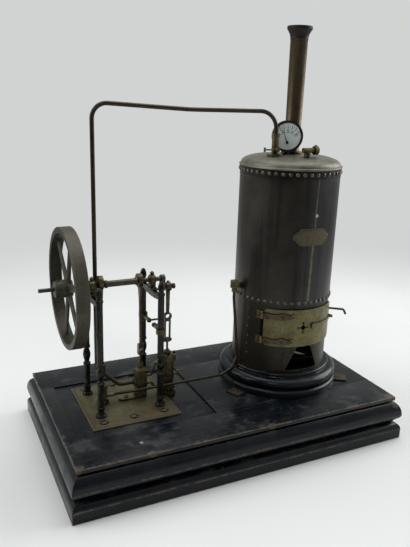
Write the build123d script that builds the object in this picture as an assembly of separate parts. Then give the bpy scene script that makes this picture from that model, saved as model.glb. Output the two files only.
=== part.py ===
from build123d import *
import os
from math import acos, cos, sin, radians, degrees, sqrt, atan2, hypot

# Stationary model steam engine: a vertical riveted boiler and a four-column
# engine with an overhung crank, both standing on one moulded wooden plinth.
# Millimetres. Origin: centre of the plinth at the surface that it stands on.
# +X runs along the plinth from the engine to the boiler, +Z is up, and the
# firebox door faces -Y.

# Plinth
top_length = 400.0
top_depth = 232.0
plinth_height = 54.7
top_board_thickness = 4.7
base_overhang = 7.3
base_edge_height = 12.5
base_height = 20.3
recess_depth = 8.7
nose_inset = 0.4
nose_height = 31.5
nose_drop = 8.0
nose_start_angle = -30.0
shoulder_reach = 11.5
shoulder_rise = 17.2
stile_width = 17.0
panel_length = 159.0
panel_depth = 132.0
panel_sink = 1.5
board_edge_round = 0.8
board_joint = 0.15

# Bed plate of the engine
plate_length = 103.0
plate_depth = 105.0
plate_thickness = 2.0
plate_left_margin = 18.0
plate_centre_y = 1.2

# Crankshaft and flywheel
shaft_y = 4.8
shaft_rise = 145.8
shaft_radius = 2.6
shaft_end_radius = 2.2
shaft_left_overhang = 25.0
running_clearance = 0.05
part_clearance = 0.4
flywheel_radius = 66.8
flywheel_width = 13.9
flywheel_left_gap = 32.8
rim_thickness = 6.5
spoke_count = 6
spoke_root_width = 9.0
spoke_tip_width = 6.0
spoke_thickness = 4.6
hub_radius = 9.0
hub_length = 19.4
hub_overhang = 8.4

# Columns that carry the shaft
column_spacing_x = 70.8
column_spacing_y = 58.8
column_margin = 16.0
column_head_rise = 6.0
column_radius = 3.7
column_foot_radius = 6.2
column_foot_thickness = 2.2
ring_radius_share = 1.2
neck_radius_share = 0.8
bulge_radius_share = 1.22
head_radius_share = 1.08
low_ring_share = 0.07
mid_ring_share = 0.265
bulge_low_share = 0.295
bulge_high_share = 0.39
knob_ring_share = 0.41
head_ring_share = 0.9
head_neck_share = 0.922
head_bell_share = 0.94
ring_height_share = 0.018
bell_wide_share = 0.86
bell_rise_share = 0.55
bell_top_share = 0.15

# Cross beams and bearings
beam_top_drop = 11.0
beam_depth = 4.0
beam_sag = 3.2
beam_thickness = 5.0
bearing_width = 8.0
bearing_foot_length = 20.0
bearing_foot_thickness = 2.6
bearing_radius = 6.0
oil_cup_radius = 2.4
oil_cup_height = 5.5
oil_cup_sink = 1.0

# Crank, connecting rod and crosshead
crank_throw = 10.5
crank_web_thickness = 4.6
crank_web_gap = 6.2
crank_web_radius = 4.6
crank_pin_radius = 2.0
crank_pin_length = 13.2
crank_nut_radius = 3.3
crank_nut_thickness = 2.8
big_end_radius = 5.2
big_end_width = 5.8
big_end_gap = 2.0
crosshead_gap = 13.9
rod_top_radius = 2.7
rod_bottom_radius = 2.1
rod_ring_drop_share = 0.5522
rod_ring_radius = 3.9
rod_ring_tube = 1.2
fork_gap = 4.4
prong_thickness = 1.5
prong_depth = 3.0
fork_bridge_height = 2.4
fork_eye_radius = 2.7
fork_nut_radius = 2.0
fork_nut_thickness = 1.4
crosshead_height = 4.6
crosshead_depth = 5.4
piston_rod_radius = 1.3
piston_thickness = 5.0

# Steam cylinder and its cover
cylinder_height = 47.0
cylinder_radius = 8.2
cylinder_flange_radius = 11.0
cylinder_flange_thickness = 3.4
cylinder_band_radius = 8.9
cylinder_band_height = 4.4
cylinder_bore_radius = 6.2
cylinder_floor_thickness = 4.0
cover_thickness = 2.6
cover_nut_count = 6
cover_nut_inset = 1.8
cover_nut_radius = 1.6
cover_nut_height = 2.6
gland_radius = 3.8
gland_height = 4.8
drain_cock_height = 22.0
drain_cock_radius = 1.6
drain_cock_length = 7.0
drain_lever_length = 10.0
drain_lever_thickness = 1.2

# Valve gear and valve chest
valve_rod_gap = 13.7
eccentric_throw = 2.5
sheave_radius = 5.8
sheave_width = 4.0
sheave_lip_radius = 7.9
sheave_lip_width = 1.2
strap_radius = 7.7
eccentric_rod_top_width = 12.0
eccentric_rod_bottom_width = 3.2
eccentric_rod_thickness = 2.4
eccentric_eye_radius = 2.6
valve_joint_rise = 21.8
valve_travel = 2.5
joint_fork_gap = 3.4
joint_fork_wall = 1.5
joint_fork_depth = 6.0
spindle_radius = 1.3
chest_length = 12.5
chest_depth = 11.0
chest_height = 35.0
chest_cap_height = 3.0
chest_cap_share = 0.62
chest_gland_radius = 3.2
chest_gland_height = 6.0
chest_union_radius = 4.4
chest_union_thickness = 2.6
chest_foot_length = 21.5
chest_foot_width = 11.0
chest_foot_thickness = 2.4
passage_radius = 1.9
passage_bend_radius = 3.0
upper_passage_height = 26.0
upper_passage_rise = 15.0
lower_passage_height = 16.0
lower_passage_drop = 8.0
passage_run = 7.0

# Feed pump
pump_gap = 10.4
pump_height = 20.0
pump_radius = 5.2
pump_flange_radius = 7.0
pump_flange_thickness = 2.4
pump_bore_radius = 2.4
pump_gland_radius = 6.0
pump_gland_height = 4.0
pump_ram_radius = 2.0
pump_joint_rise = 24.8
pump_travel = 5.0
pump_outlet_radius = 2.4
pump_outlet_length = 8.0
pump_outlet_height = 8.8

# Pipes
steam_pipe_radius = 2.4
steam_rise = 24.5
steam_run_sag = 0.5
steam_sag_share = 0.49
steam_run_climb = 4.5
steam_drop_gap = 8.0
steam_drop_offset = 15.2
steam_turn_rise = 19.0
steam_lead = 17.9
steam_entry_rise = 20.0
steam_bend_radius = 16.0
steam_low_bend_radius = 9.0
steam_sag_radius = 300.0
steam_top_bend_radius = 20.0
feed_pipe_radius = 1.75
feed_lead = 7.6
feed_cross = 14.0
feed_run_offset = 11.2
feed_run_rise = 14.3
feed_ring_gap = 9.0
feed_step_gap = 5.0
feed_step_drop = 5.5
feed_shell_gap = 2.5
feed_rise = 7.5
feed_union_run = 8.0
feed_bend_radius = 9.0

# Boiler
boiler_gap = 122.0
boiler_y = 1.2
boiler_radius = 60.5
shell_wall = 1.6
ring_recess = 4.5
seam_rise = 7.7
seam_lap = 5.5
lap_thickness = 0.8
upper_shell_height = 157.8
dome_rise = 13.5
dome_skirt = 8.0
dome_lip = 1.3
dome_lip_height = 1.6
door_centre_angle = -91.5
door_half_angle = 50.0
door_overlap = 0.5
door_height = 47.0
door_thickness = 1.6
door_opening_inset = 5.0
door_gap = 0.5
door_corner_radius = 5.0
ash_sill = 3.0
ash_height = 32.0
ash_bottom_half_width = 22.5
ash_top_half_width = 8.5
ash_centre_angle = -91.5
star_hole_radius = 2.6
star_slot_length = 12.6
star_slot_width = 3.6
star_eye_radius = 1.2
star_rise = 24.5
star_angle = -95.5
hinge_strap_height = 4.6
hinge_strap_thickness = 1.2
hinge_low_rise = 6.5
hinge_high_drop = 8.5
hinge_strap_angle = 33.0
hinge_knuckle_radius = 1.9
hinge_knuckle_height = 5.6
hinge_leaf_angle = 7.0
hinge_pin_radius = 0.9
grate_rise = 12.5
grate_thickness = 2.4
grate_bar_width = 3.0
grate_bar_count = 9
grate_ring_width = 5.0
grate_turn = -42.0
plaque_centre_angle = -93.0
plaque_rise = 81.3
plaque_length = 48.5
plaque_width = 20.5
plaque_thickness = 1.2

# Turned wooden ring under the boiler
ring_reach = 16.3
ring_band_height = 8.6
ring_groove_depth = 2.4
ring_torus_height = 14.0
ring_hollow_reach = 5.5
ring_top_reach = 4.5
ring_height = 27.8

# Chimney
chimney_radius = 9.0
chimney_top_radius = 10.2
chimney_wall = 1.0
chimney_mouth_height = 13.5
chimney_height = 156.0
chimney_mouth_radius = 14.6
chimney_lip_height = 2.0
chimney_foot_radius = 12.4
chimney_foot_height = 3.0

# Fittings on the boiler
gauge_offset_x = -15.6
gauge_offset_y = -13.2
gauge_rise = 34.3
gauge_turn = -26.0
gauge_radius = 18.0
gauge_bezel_width = 2.6
gauge_depth = 6.5
gauge_dial_thickness = 0.6
gauge_rim_depth = 1.8
needle_length = 17.0
needle_width = 1.0
needle_hub_radius = 1.6
needle_thickness = 0.4
needle_drop = 7.0
needle_angle = 112.0
gauge_stem_radius = 3.0
gauge_stem_nut_radius = 4.2
outlet_offset_x = -31.4
outlet_offset_y = -12.7
outlet_body_radius = 4.0
outlet_stem_height = 18.0
outlet_neck_radius = 2.8
outlet_flange_radius = 8.6
outlet_flange_thickness = 2.2
outlet_plug_rise = 19.5
outlet_plug_radius = 2.4
cock_lever_length = 17.0
cock_lever_radius = 0.9
cock_head_radius = 3.0
cock_head_length = 3.0
cock_grip_length = 5.0
try_cock_offset_x = -2.5
try_cock_offset_y = -36.7
try_cock_rise = 20.0
try_cock_post_radius = 3.6
try_cock_barrel_radius = 3.0
try_cock_barrel_left = 6.0
try_cock_barrel_right = 9.0
try_cock_cap_radius = 5.0
try_cock_cap_length = 4.6
try_cock_knob_radius = 1.6
try_cock_knob_height = 2.0
check_valve_angle = -179.0
check_valve_gap = 9.5
check_valve_rise = 11.3
check_neck_radius = 3.3
check_valve_half_height = 7.0
check_nut_radius = 5.8
check_nut_height = 8.4
check_boss_radius = 4.2
lug_length = 15.0
lug_width = 18.0
lug_thickness = 1.6
lug_angles = (-157.7, -34.0, 84.0)

# Guide bracket
guide_drop = 53.0
guide_collar_wall = 1.8
guide_collar_height = 6.0
guide_arm_width = 3.4
guide_arm_thickness = 3.2
guide_spread = 8.2
guide_knob_radius = 2.3
guide_knob_height = 4.4
guide_finger_radius = 1.2
guide_finger_gap = 6.4

# Latch of the firebox door
latch_pivot_angle = -82.7
latch_drop = 21.4
latch_end_angle = 3.4
latch_bar_height = 4.2
latch_knob_radius = 1.9
latch_knob_length = 5.0
catch_angle = -37.5
catch_drop = 12.0
catch_radius = 1.4
catch_length = 20.0
catch_hook_reach = 3.0
catch_hook_drop = 6.0
catch_bend_radius = 2.8

# Shares of the piece that each follows
torus_bulge_share = 0.12
torus_high_share = 0.52
plaque_corner_share = 0.3
flare_share = 0.2
nut_share = 0.6
grip_share = 1.4
tip_share = 0.8
web_foot_share = 0.8
spoke_phase_share = 0.25
rod_taper_share = 0.3


overrun = 2.0
quarter_turn = 90.0

# Moving fits
door_hinge_gap = 0.4

# Worked out from the sizes above: plinth
base_length = top_length + 2 * base_overhang
base_depth = top_depth + 2 * base_overhang
board_bottom = plinth_height - top_board_thickness
panel_top = plinth_height - panel_sink
panel_left = -top_length / 2 + stile_width
panel_right = panel_left + panel_length
inner_half_depth = panel_depth / 2
plate_top = panel_top + plate_thickness
plate_left = panel_left + plate_left_margin
plate_right = plate_left + plate_length

# Worked out: engine
shaft_height = plate_top + shaft_rise
column_left = plate_left + column_margin
column_xs = (column_left, column_left + column_spacing_x)
column_ys = (shaft_y - column_spacing_y / 2, shaft_y + column_spacing_y / 2)
column_height = shaft_rise + column_head_rise
beam_top = shaft_height - beam_top_drop
guide_height = shaft_height - guide_drop
flywheel_left = column_left - flywheel_left_gap
flywheel_right = flywheel_left + flywheel_width
shaft_left = flywheel_left - shaft_left_overhang
web_left = column_xs[1] + bearing_width / 2 + part_clearance + crank_web_gap
web_right = web_left + crank_web_thickness
rod_x = web_right + big_end_gap + big_end_width / 2
cylinder_x = rod_x
cover_top = plate_top + cylinder_height + cover_thickness
crank_pin_height = shaft_height - crank_throw
crosshead_z = cover_top + gland_height + crosshead_gap
rod_length = crank_pin_height - crosshead_z
valve_rod_x = column_xs[1] - valve_rod_gap
chest_top = plate_top + chest_height
valve_joint_height = chest_top + chest_cap_height + chest_gland_height + valve_joint_rise
pump_x = column_left + pump_gap
pump_joint_height = plate_top + pump_height + pump_gland_height + pump_joint_rise

# Worked out: boiler
boiler_x = panel_right + boiler_gap
firebox_radius = boiler_radius - lap_thickness
ring_radius = boiler_radius + ring_reach
ring_hollow_radius = boiler_radius + ring_hollow_reach
ring_top_radius = boiler_radius + ring_top_reach
ring_top = plinth_height + ring_height
firebox_bottom = ring_top - ring_recess
ash_bottom = ring_top + ash_sill
ash_top = ash_bottom + ash_height
grate_height = ash_bottom + grate_rise
door_low = ash_top - door_overlap
door_high = door_low + door_height
door_knuckle_half_angle = degrees((hinge_knuckle_radius + door_hinge_gap) / firebox_radius)
hinge_angle = door_centre_angle - door_half_angle - door_knuckle_half_angle
hinge_heights = (door_low + hinge_low_rise, door_high - hinge_high_drop)
star_height = door_low + star_rise
latch_height = door_high - latch_drop
catch_height = door_high - catch_drop
seam_height = door_high + seam_rise
seam_bottom = seam_height - seam_lap / 2
check_valve_height = seam_height + check_valve_rise
check_valve_reach = boiler_radius + check_valve_gap
plaque_height = seam_height + plaque_rise
shell_top = seam_height + upper_shell_height
chimney_top = shell_top + chimney_height
chimney_joint_height = chimney_top - chimney_mouth_height
gauge_x = boiler_x + gauge_offset_x
gauge_y = boiler_y + gauge_offset_y
gauge_height = shell_top + gauge_rise
outlet_x = boiler_x + outlet_offset_x
outlet_y = boiler_y + outlet_offset_y
outlet_plug_height = shell_top + outlet_plug_rise
outlet_top = outlet_plug_height + outlet_stem_height
try_cock_x = boiler_x + try_cock_offset_x
try_cock_y = boiler_y + try_cock_offset_y
try_cock_height = shell_top + try_cock_rise

# Worked out: pipes
steam_drop_x = column_left + steam_drop_gap
steam_drop_y = shaft_y + steam_drop_offset
steam_entry_height = plate_top + steam_entry_rise
steam_turn_height = steam_entry_height + steam_turn_rise
steam_entry_x = valve_rod_x - chest_length / 2 - chest_union_thickness
steam_lead_x = steam_entry_x - steam_lead
steam_rise_height = outlet_top + steam_rise
steam_sag_x = outlet_x + (steam_drop_x - outlet_x) * steam_sag_share
feed_run_y = shaft_y - feed_run_offset
feed_run_height = plate_top + feed_run_rise


def disc(x, y, z, radius, height):
    return Pos(x, y, z) * Cylinder(radius, height, align=(Align.CENTER, Align.CENTER, Align.MIN))


def block(x0, x1, y0, y1, z0, z1):
    solid = Box(x1 - x0, y1 - y0, z1 - z0, align=(Align.MIN, Align.MIN, Align.MIN))
    return Pos(x0, y0, z0) * solid


def rod_along_x(x0, x1, y, z, radius):
    start = Plane(origin=(x0, y, z), x_dir=(0, 1, 0), z_dir=(1, 0, 0))
    return extrude(start * Circle(radius), amount=x1 - x0)


def rod_between(a, b, radius):
    path = Line(a, b)
    return sweep(Plane(origin=a, z_dir=path % 0) * Circle(radius), path=path)


def turned(edges, x=0, y=0, z=0):
    return Pos(x, y, z) * revolve(Plane.XZ * make_face(edges), Axis.Z)


def pipe(points, radii, radius):
    path = FilletPolyline(*points, radius=radii)
    start = Plane(origin=path @ 0, z_dir=path % 0)
    return sweep(start * Circle(radius), path=path)


# Plinth

def mitred(length, depth, half_outline):
    # Two prisms of one moulding profile meet in mitres where they cross.
    def whole(half):
        side = make_face(half_outline(half))
        return side + mirror(side, about=Plane.YZ)
    lengthways = extrude(Plane.YZ * whole(depth / 2), amount=length, both=True)
    crossways = extrude(Plane.XZ * whole(length / 2), amount=depth, both=True)
    return lengthways & crossways


def base_outline(half):
    top_edge = (half - recess_depth, base_height)
    return [
        Line((0, 0), (half, 0)),
        Line((half, 0), (half, base_edge_height)),
        EllipticalCenterArc(
            (half - recess_depth, base_edge_height), recess_depth, base_height - base_edge_height,
            start_angle=0, arc_size=quarter_turn),
        Line(top_edge, (0, base_height)),
        Line((0, base_height), (0, 0)),
    ]


def moulding_outline(half):
    centre_x = half - nose_inset - shoulder_reach
    nose = EllipticalCenterArc(
        (centre_x, nose_height), shoulder_reach, nose_drop, start_angle=nose_start_angle,
        arc_size=-nose_start_angle)
    shoulder = EllipticalCenterArc(
        (centre_x, nose_height), shoulder_reach, shoulder_rise, start_angle=0, arc_size=quarter_turn)
    foot = (half - recess_depth, base_height)
    neck = (centre_x, board_bottom)
    return [
        Line((0, base_height), foot),
        Line(foot, nose @ 0),
        nose,
        shoulder,
        Line(shoulder @ 1, neck),
        Line(neck, (0, board_bottom)),
        Line((0, board_bottom), (0, base_height)),
    ]


def top_board(x0, x1, y0, y1, top):
    return block(x0 + board_joint, x1 - board_joint, y0 + board_joint, y1 - board_joint, board_bottom, top)


def plinth_rails():
    half_length = top_length / 2 + board_joint
    half_depth = top_depth / 2 + board_joint
    front = top_board(-half_length, half_length, -half_depth, -inner_half_depth, plinth_height)
    front = fillet(front.edges().filter_by(Axis.X).group_by(Axis.Y)[0], board_edge_round)
    return Compound([front, mirror(front, about=Plane.XZ)])


def plinth_stile():
    left = -top_length / 2 - board_joint
    stile = top_board(left, panel_left, -inner_half_depth, inner_half_depth, plinth_height)
    return fillet(stile.edges().filter_by(Axis.Y).group_by(Axis.X)[0], board_edge_round)


def plinth_panel():
    return top_board(panel_left, panel_right, -inner_half_depth, inner_half_depth, panel_top)


def plinth_boiler_board():
    right = top_length / 2 + board_joint
    board = top_board(panel_right, right, -inner_half_depth, inner_half_depth, plinth_height)
    return fillet(board.edges().filter_by(Axis.Y).group_by(Axis.X)[-1], board_edge_round)


def bed_plate():
    low = plate_centre_y - plate_depth / 2
    return block(plate_left, plate_right, low, low + plate_depth, panel_top, plate_top)


# Columns, beams and bearings

def column(x, y):
    h = column_height
    r = column_radius
    ring = r * ring_radius_share
    neck = r * neck_radius_share
    half_ring = h * ring_height_share / 2

    def ring_arc(share):
        return ThreePointArc((r, h * share - half_ring), (ring, h * share), (r, h * share + half_ring))

    bulge_low = (neck, h * bulge_low_share)
    bulge_high = (neck, h * bulge_high_share)
    bulge_mid = (r * bulge_radius_share, h * (bulge_low_share + bulge_high_share) / 2)
    head_neck = (neck, h * head_neck_share)
    head_low = h * head_bell_share
    head = r * head_radius_share
    rise = h - head_low
    bell = Spline((head, head_low), (head * bell_wide_share, head_low + rise * bell_rise_share),
                  (head * bell_top_share, h), tangents=[(0, 1), (-1, 0)])
    rings = [ring_arc(s) for s in (low_ring_share, mid_ring_share, knob_ring_share, head_ring_share)]
    foot = (column_foot_radius, column_foot_thickness)
    edges = [
        Line((0, 0), (column_foot_radius, 0)),
        Line((column_foot_radius, 0), foot),
        Line(foot, (r, column_foot_thickness)),
        Line((r, column_foot_thickness), rings[0] @ 0),
        rings[0],
        Line(rings[0] @ 1, rings[1] @ 0),
        rings[1],
        Line(rings[1] @ 1, bulge_low),
        Spline(bulge_low, bulge_mid, bulge_high),
        Line(bulge_high, rings[2] @ 0),
        rings[2],
        Line(rings[2] @ 1, rings[3] @ 0),
        rings[3],
        Line(rings[3] @ 1, head_neck),
        Line(head_neck, bell @ 0),
        bell,
        Line(bell @ 1, (0, h)),
        Line((0, h), (0, 0)),
    ]
    return turned(edges, x, y, plate_top)


def cross_beam(x):
    half = column_spacing_y / 2
    low = beam_top - beam_depth
    outline = [
        Line((-half, beam_top), (half, beam_top)),
        Line((half, beam_top), (half, low)),
        ThreePointArc((half, low), (0, low - beam_sag), (-half, low)),
        Line((-half, low), (-half, beam_top)),
    ]
    face = Plane(origin=(x, shaft_y, 0), x_dir=(0, 1, 0), z_dir=(1, 0, 0)) * make_face(outline)
    beam = extrude(face, amount=beam_thickness / 2, both=True)
    for y in column_ys:
        beam -= disc(x, y, low - beam_sag, column_radius, beam_depth + 2 * beam_sag)
    return max(beam.solids(), key=lambda s: s.volume)


def bearing(x):
    left = x - bearing_width / 2
    foot_half = bearing_foot_length / 2
    foot = block(left, left + bearing_width, shaft_y - foot_half, shaft_y + foot_half,
                 beam_top, beam_top + bearing_foot_thickness)
    post = block(left, left + bearing_width, shaft_y - bearing_radius, shaft_y + bearing_radius,
                 beam_top, shaft_height)
    cap = rod_along_x(left, left + bearing_width, shaft_y, shaft_height, bearing_radius)
    cup_base = shaft_height + bearing_radius - oil_cup_radius / 2
    cup = Pos(x, shaft_y, cup_base) * Cone(
        oil_cup_radius, oil_cup_radius / 4, oil_cup_height, align=(Align.CENTER, Align.CENTER, Align.MIN))
    bore = rod_along_x(left - overrun, left + bearing_width + overrun, shaft_y, shaft_height,
                       shaft_radius + running_clearance)
    return foot + post + cap + cup - bore


# Two guide arms, each clamped to a right-hand column

def guide_arm(y, knob_y):
    x = column_xs[1]
    low = guide_height - guide_collar_height / 2
    collar = disc(x, y, low, column_radius + guide_collar_wall, guide_collar_height)
    arm = block(x - guide_arm_width / 2, x + guide_arm_width / 2, min(y, knob_y), max(y, knob_y),
                guide_height - guide_arm_thickness / 2, guide_height + guide_arm_thickness / 2)
    knob = disc(x, knob_y, guide_height - guide_knob_height / 2, guide_knob_radius, guide_knob_height)
    finger = rod_along_x(x, rod_x - guide_finger_gap, knob_y, guide_height, guide_finger_radius)
    bore = disc(x, y, low - overrun, column_radius, guide_collar_height + 2 * overrun)
    return collar + arm + knob + finger - bore


def guide_bracket():
    front = guide_arm(column_ys[0], shaft_y - guide_spread)
    back = guide_arm(column_ys[1], shaft_y + guide_spread)
    return Compound([front, back])


# Steam cylinder

def flange_nuts(z):
    nut = extrude(RegularPolygon(cover_nut_radius, 6), amount=cover_nut_height)
    spots = PolarLocations(cylinder_flange_radius - cover_nut_inset, cover_nut_count)
    return [Pos(cylinder_x, shaft_y, z) * spot * nut for spot in spots]


def steam_cylinder():
    foot_height = plate_thickness + cylinder_flange_thickness
    base = disc(cylinder_x, shaft_y, panel_top, cylinder_flange_radius, foot_height)
    body = disc(cylinder_x, shaft_y, panel_top, cylinder_radius, plate_top + cylinder_height - panel_top)
    top = disc(cylinder_x, shaft_y, plate_top + cylinder_height - cylinder_flange_thickness,
               cylinder_flange_radius, cylinder_flange_thickness)
    band_low = plate_top + drain_cock_height - cylinder_band_height / 2
    band = disc(cylinder_x, shaft_y, band_low, cylinder_band_radius, cylinder_band_height)
    base += flange_nuts(plate_top + cylinder_flange_thickness)
    bore_low = plate_top + cylinder_floor_thickness
    bore = disc(cylinder_x, shaft_y, bore_low, cylinder_bore_radius, cylinder_height)
    low = plate_centre_y - plate_depth / 2
    plate_space = block(plate_left, plate_right, low, low + plate_depth, panel_top - overrun, plate_top)
    return base + body + top + band - bore - plate_space


def cylinder_cover():
    low = plate_top + cylinder_height
    cover = disc(cylinder_x, shaft_y, low, cylinder_flange_radius, cover_thickness)
    gland = disc(cylinder_x, shaft_y, cover_top, gland_radius, gland_height)
    cover += flange_nuts(cover_top)
    bore = disc(cylinder_x, shaft_y, low - overrun, piston_rod_radius + running_clearance,
                cover_thickness + gland_height + 2 * overrun)
    return cover + gland - bore


def drain_cock():
    z = plate_top + drain_cock_height
    start = cylinder_x + cylinder_radius
    body = rod_along_x(start, start + drain_cock_length, shaft_y, z, drain_cock_radius)
    plug_x = start + drain_cock_length - drain_cock_radius
    plug = disc(plug_x, shaft_y, z - drain_cock_radius, drain_cock_radius, 3 * drain_cock_radius)
    lever_z = z + 2 * drain_cock_radius - drain_lever_thickness
    lever = block(plug_x, plug_x + drain_lever_length, shaft_y - drain_cock_radius / 2,
                  shaft_y + drain_cock_radius / 2, lever_z, lever_z + drain_lever_thickness)
    barrel = disc(cylinder_x, shaft_y, plate_top, cylinder_band_radius, cylinder_height)
    return body + plug + lever - barrel


# Valve chest

def chest_space():
    half_x = chest_length / 2
    half_y = chest_depth / 2
    return block(valve_rod_x - half_x, valve_rod_x + half_x, shaft_y - half_y, shaft_y + half_y,
                 plate_top, plate_top + chest_height)


def valve_chest():
    body = chest_space()
    low = Plane(origin=(valve_rod_x, shaft_y, chest_top))
    high = low.offset(chest_cap_height)
    cap = loft([
        low * Rectangle(chest_length, chest_depth),
        high * Rectangle(chest_length * chest_cap_share, chest_depth * chest_cap_share),
    ])
    gland_low = chest_top + chest_cap_height
    gland = Pos(valve_rod_x, shaft_y, gland_low) * extrude(
        RegularPolygon(chest_gland_radius, 6), amount=chest_gland_height)
    foot_end = valve_rod_x - chest_length / 2 - chest_foot_length + chest_foot_width / 2
    foot = block(foot_end, valve_rod_x, shaft_y - chest_foot_width / 2, shaft_y + chest_foot_width / 2,
                 plate_top, plate_top + chest_foot_thickness)
    foot += disc(foot_end, shaft_y, plate_top, chest_foot_width / 2, chest_foot_thickness)
    bore_low = chest_top - chest_height / 2
    bore = disc(valve_rod_x, shaft_y, bore_low, spindle_radius + running_clearance, 2 * chest_height)
    union = rod_along_x(steam_entry_x, valve_rod_x, shaft_y, steam_entry_height, chest_union_radius)
    return body + cap + gland + foot + union - bore


def steam_passages():
    start = valve_rod_x + chest_length / 2
    end = cylinder_x - cylinder_radius
    first = start + passage_run
    last = end - passage_run
    runs = []
    ports = ((upper_passage_height, upper_passage_rise), (lower_passage_height, -lower_passage_drop))
    for low, change in ports:
        z0 = plate_top + low
        z1 = z0 + change
        points = [
            (start, shaft_y, z0),
            (first, shaft_y, z0),
            (last, shaft_y, z1),
            (end + cylinder_radius / 2, shaft_y, z1),
        ]
        tube = pipe(points, [passage_bend_radius, passage_bend_radius], passage_radius)
        runs.append(tube - disc(cylinder_x, shaft_y, plate_top, cylinder_radius, cylinder_height))
    return Compound([r.solids()[0] for r in runs])


# Feed pump

def feed_pump():
    flange = disc(pump_x, shaft_y, plate_top, pump_flange_radius, pump_flange_thickness)
    body = disc(pump_x, shaft_y, plate_top, pump_radius, pump_height)
    gland = disc(pump_x, shaft_y, plate_top + pump_height, pump_gland_radius, pump_gland_height)
    outlet_z = plate_top + pump_outlet_height
    outlet_end = pump_x + pump_radius + pump_outlet_length
    outlet = rod_along_x(pump_x, outlet_end, shaft_y, outlet_z, pump_outlet_radius)
    bore = disc(pump_x, shaft_y, plate_top + pump_outlet_height + pump_outlet_radius + pump_bore_radius,
                pump_ram_radius + running_clearance, pump_height + pump_gland_height)
    return flange + body + gland + outlet - bore


# Pipes

def steam_pipe():
    points = [
        (outlet_x, outlet_y, outlet_top),
        (outlet_x, outlet_y, steam_rise_height),
        (steam_sag_x, (outlet_y + steam_drop_y) / 2, steam_rise_height - steam_run_sag),
        (steam_drop_x, steam_drop_y, steam_rise_height + steam_run_climb),
        (steam_drop_x, steam_drop_y, steam_turn_height),
        (steam_lead_x, shaft_y, steam_entry_height),
        (steam_entry_x, shaft_y, steam_entry_height),
    ]
    radii = [
        steam_top_bend_radius,
        steam_sag_radius,
        steam_bend_radius,
        steam_low_bend_radius,
        steam_low_bend_radius,
    ]
    return pipe(points, radii, steam_pipe_radius)


def around_boiler(angle, radius, z):
    turn = radians(angle)
    return (boiler_x + radius * cos(turn), boiler_y + radius * sin(turn), z)


def feed_pipe():
    outlet_z = plate_top + pump_outlet_height
    start_x = pump_x + pump_radius + pump_outlet_length
    lead_x = start_x + feed_lead
    valve_low = check_valve_height - check_valve_half_height
    points = [
        (start_x, shaft_y, outlet_z),
        (lead_x, shaft_y, outlet_z),
        (lead_x + feed_cross, feed_run_y, feed_run_height),
        (boiler_x - ring_radius - feed_ring_gap, feed_run_y, feed_run_height),
        (boiler_x - ring_hollow_radius - feed_step_gap, feed_run_y, ring_top - feed_step_drop),
        (boiler_x - boiler_radius - feed_shell_gap, feed_run_y / 2, ring_top + feed_rise),
        around_boiler(check_valve_angle, check_valve_reach, valve_low - feed_union_run),
        around_boiler(check_valve_angle, check_valve_reach, valve_low),
    ]
    radii = [feed_bend_radius] * (len(points) - 2)
    return pipe(points, radii, feed_pipe_radius)


def check_valve():
    x, y, z = around_boiler(check_valve_angle, check_valve_reach, check_valve_height)
    body = disc(x, y, z - check_valve_half_height, check_neck_radius, 2 * check_valve_half_height)
    nut = extrude(RegularPolygon(check_nut_radius, 6), amount=check_nut_height)
    nut = Pos(x, y, z + check_valve_half_height - check_nut_height) * nut
    seat = around_boiler(check_valve_angle, boiler_radius - shell_wall, z)
    boss = rod_between((x, y, z), seat, check_boss_radius / 2)
    face = around_boiler(check_valve_angle, boiler_radius + shell_wall, z)
    flange = rod_between(face, seat, check_boss_radius)
    inside = disc(boiler_x, boiler_y, z - 2 * check_boss_radius, boiler_radius, 4 * check_boss_radius)
    return body + nut + boss + flange - inside


# Boiler

def boiler_ring():
    edge = ring_radius - ring_groove_depth
    band_top = plinth_height + ring_band_height
    groove_top = band_top + ring_groove_depth / 2
    torus_top = groove_top + ring_torus_height
    torus_mid = (
        edge - (edge - ring_hollow_radius) * torus_bulge_share,
        groove_top + ring_torus_height * torus_high_share,
    )
    outline = [
        Line((0, plinth_height), (ring_radius, plinth_height)),
        Line((ring_radius, plinth_height), (ring_radius, band_top)),
        Line((ring_radius, band_top), (edge, groove_top)),
        ThreePointArc((edge, groove_top), torus_mid, (ring_hollow_radius, torus_top)),
        Line((ring_hollow_radius, torus_top), (ring_top_radius, ring_top)),
        Line((ring_top_radius, ring_top), (firebox_radius, ring_top)),
        Line((firebox_radius, ring_top), (firebox_radius, firebox_bottom)),
        Line((firebox_radius, firebox_bottom), (0, firebox_bottom)),
        Line((0, firebox_bottom), (0, plinth_height)),
    ]
    return turned(outline, boiler_x, boiler_y)


def boiler_lugs():
    lugs = []
    for angle in lug_angles:
        tab = Box(lug_length + ring_groove_depth, lug_width, lug_thickness,
                  align=(Align.MIN, Align.CENTER, Align.MIN))
        tab = Rot(0, 0, angle) * Pos(ring_radius - ring_groove_depth) * tab
        tab = Pos(boiler_x, boiler_y, plinth_height) * tab
        tab -= disc(boiler_x, boiler_y, plinth_height - overrun, ring_radius, lug_thickness + 2 * overrun)
        lugs.append(tab.solids()[0])
    return Compound(lugs)


def tube(x, y, outer, inner, low, high):
    return disc(x, y, low, outer, high - low) - disc(x, y, low - overrun, inner, high - low + 2 * overrun)


def sector(angle_from, angle_to, outer, inner, low, high):
    # A stretch of tube wall about the boiler's axis between two angles.
    section = Pos((outer + inner) / 2, 0) * Rectangle(outer - inner, high - low)
    face = Pos(0, 0, (low + high) / 2) * (Plane.XZ * section)
    wall = revolve(face, Axis.Z, angle_to - angle_from)
    return Pos(boiler_x, boiler_y) * Rot(0, 0, angle_from) * wall


def boiler_shell():
    return tube(boiler_x, boiler_y, boiler_radius, boiler_radius - shell_wall, seam_bottom, shell_top)


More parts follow.
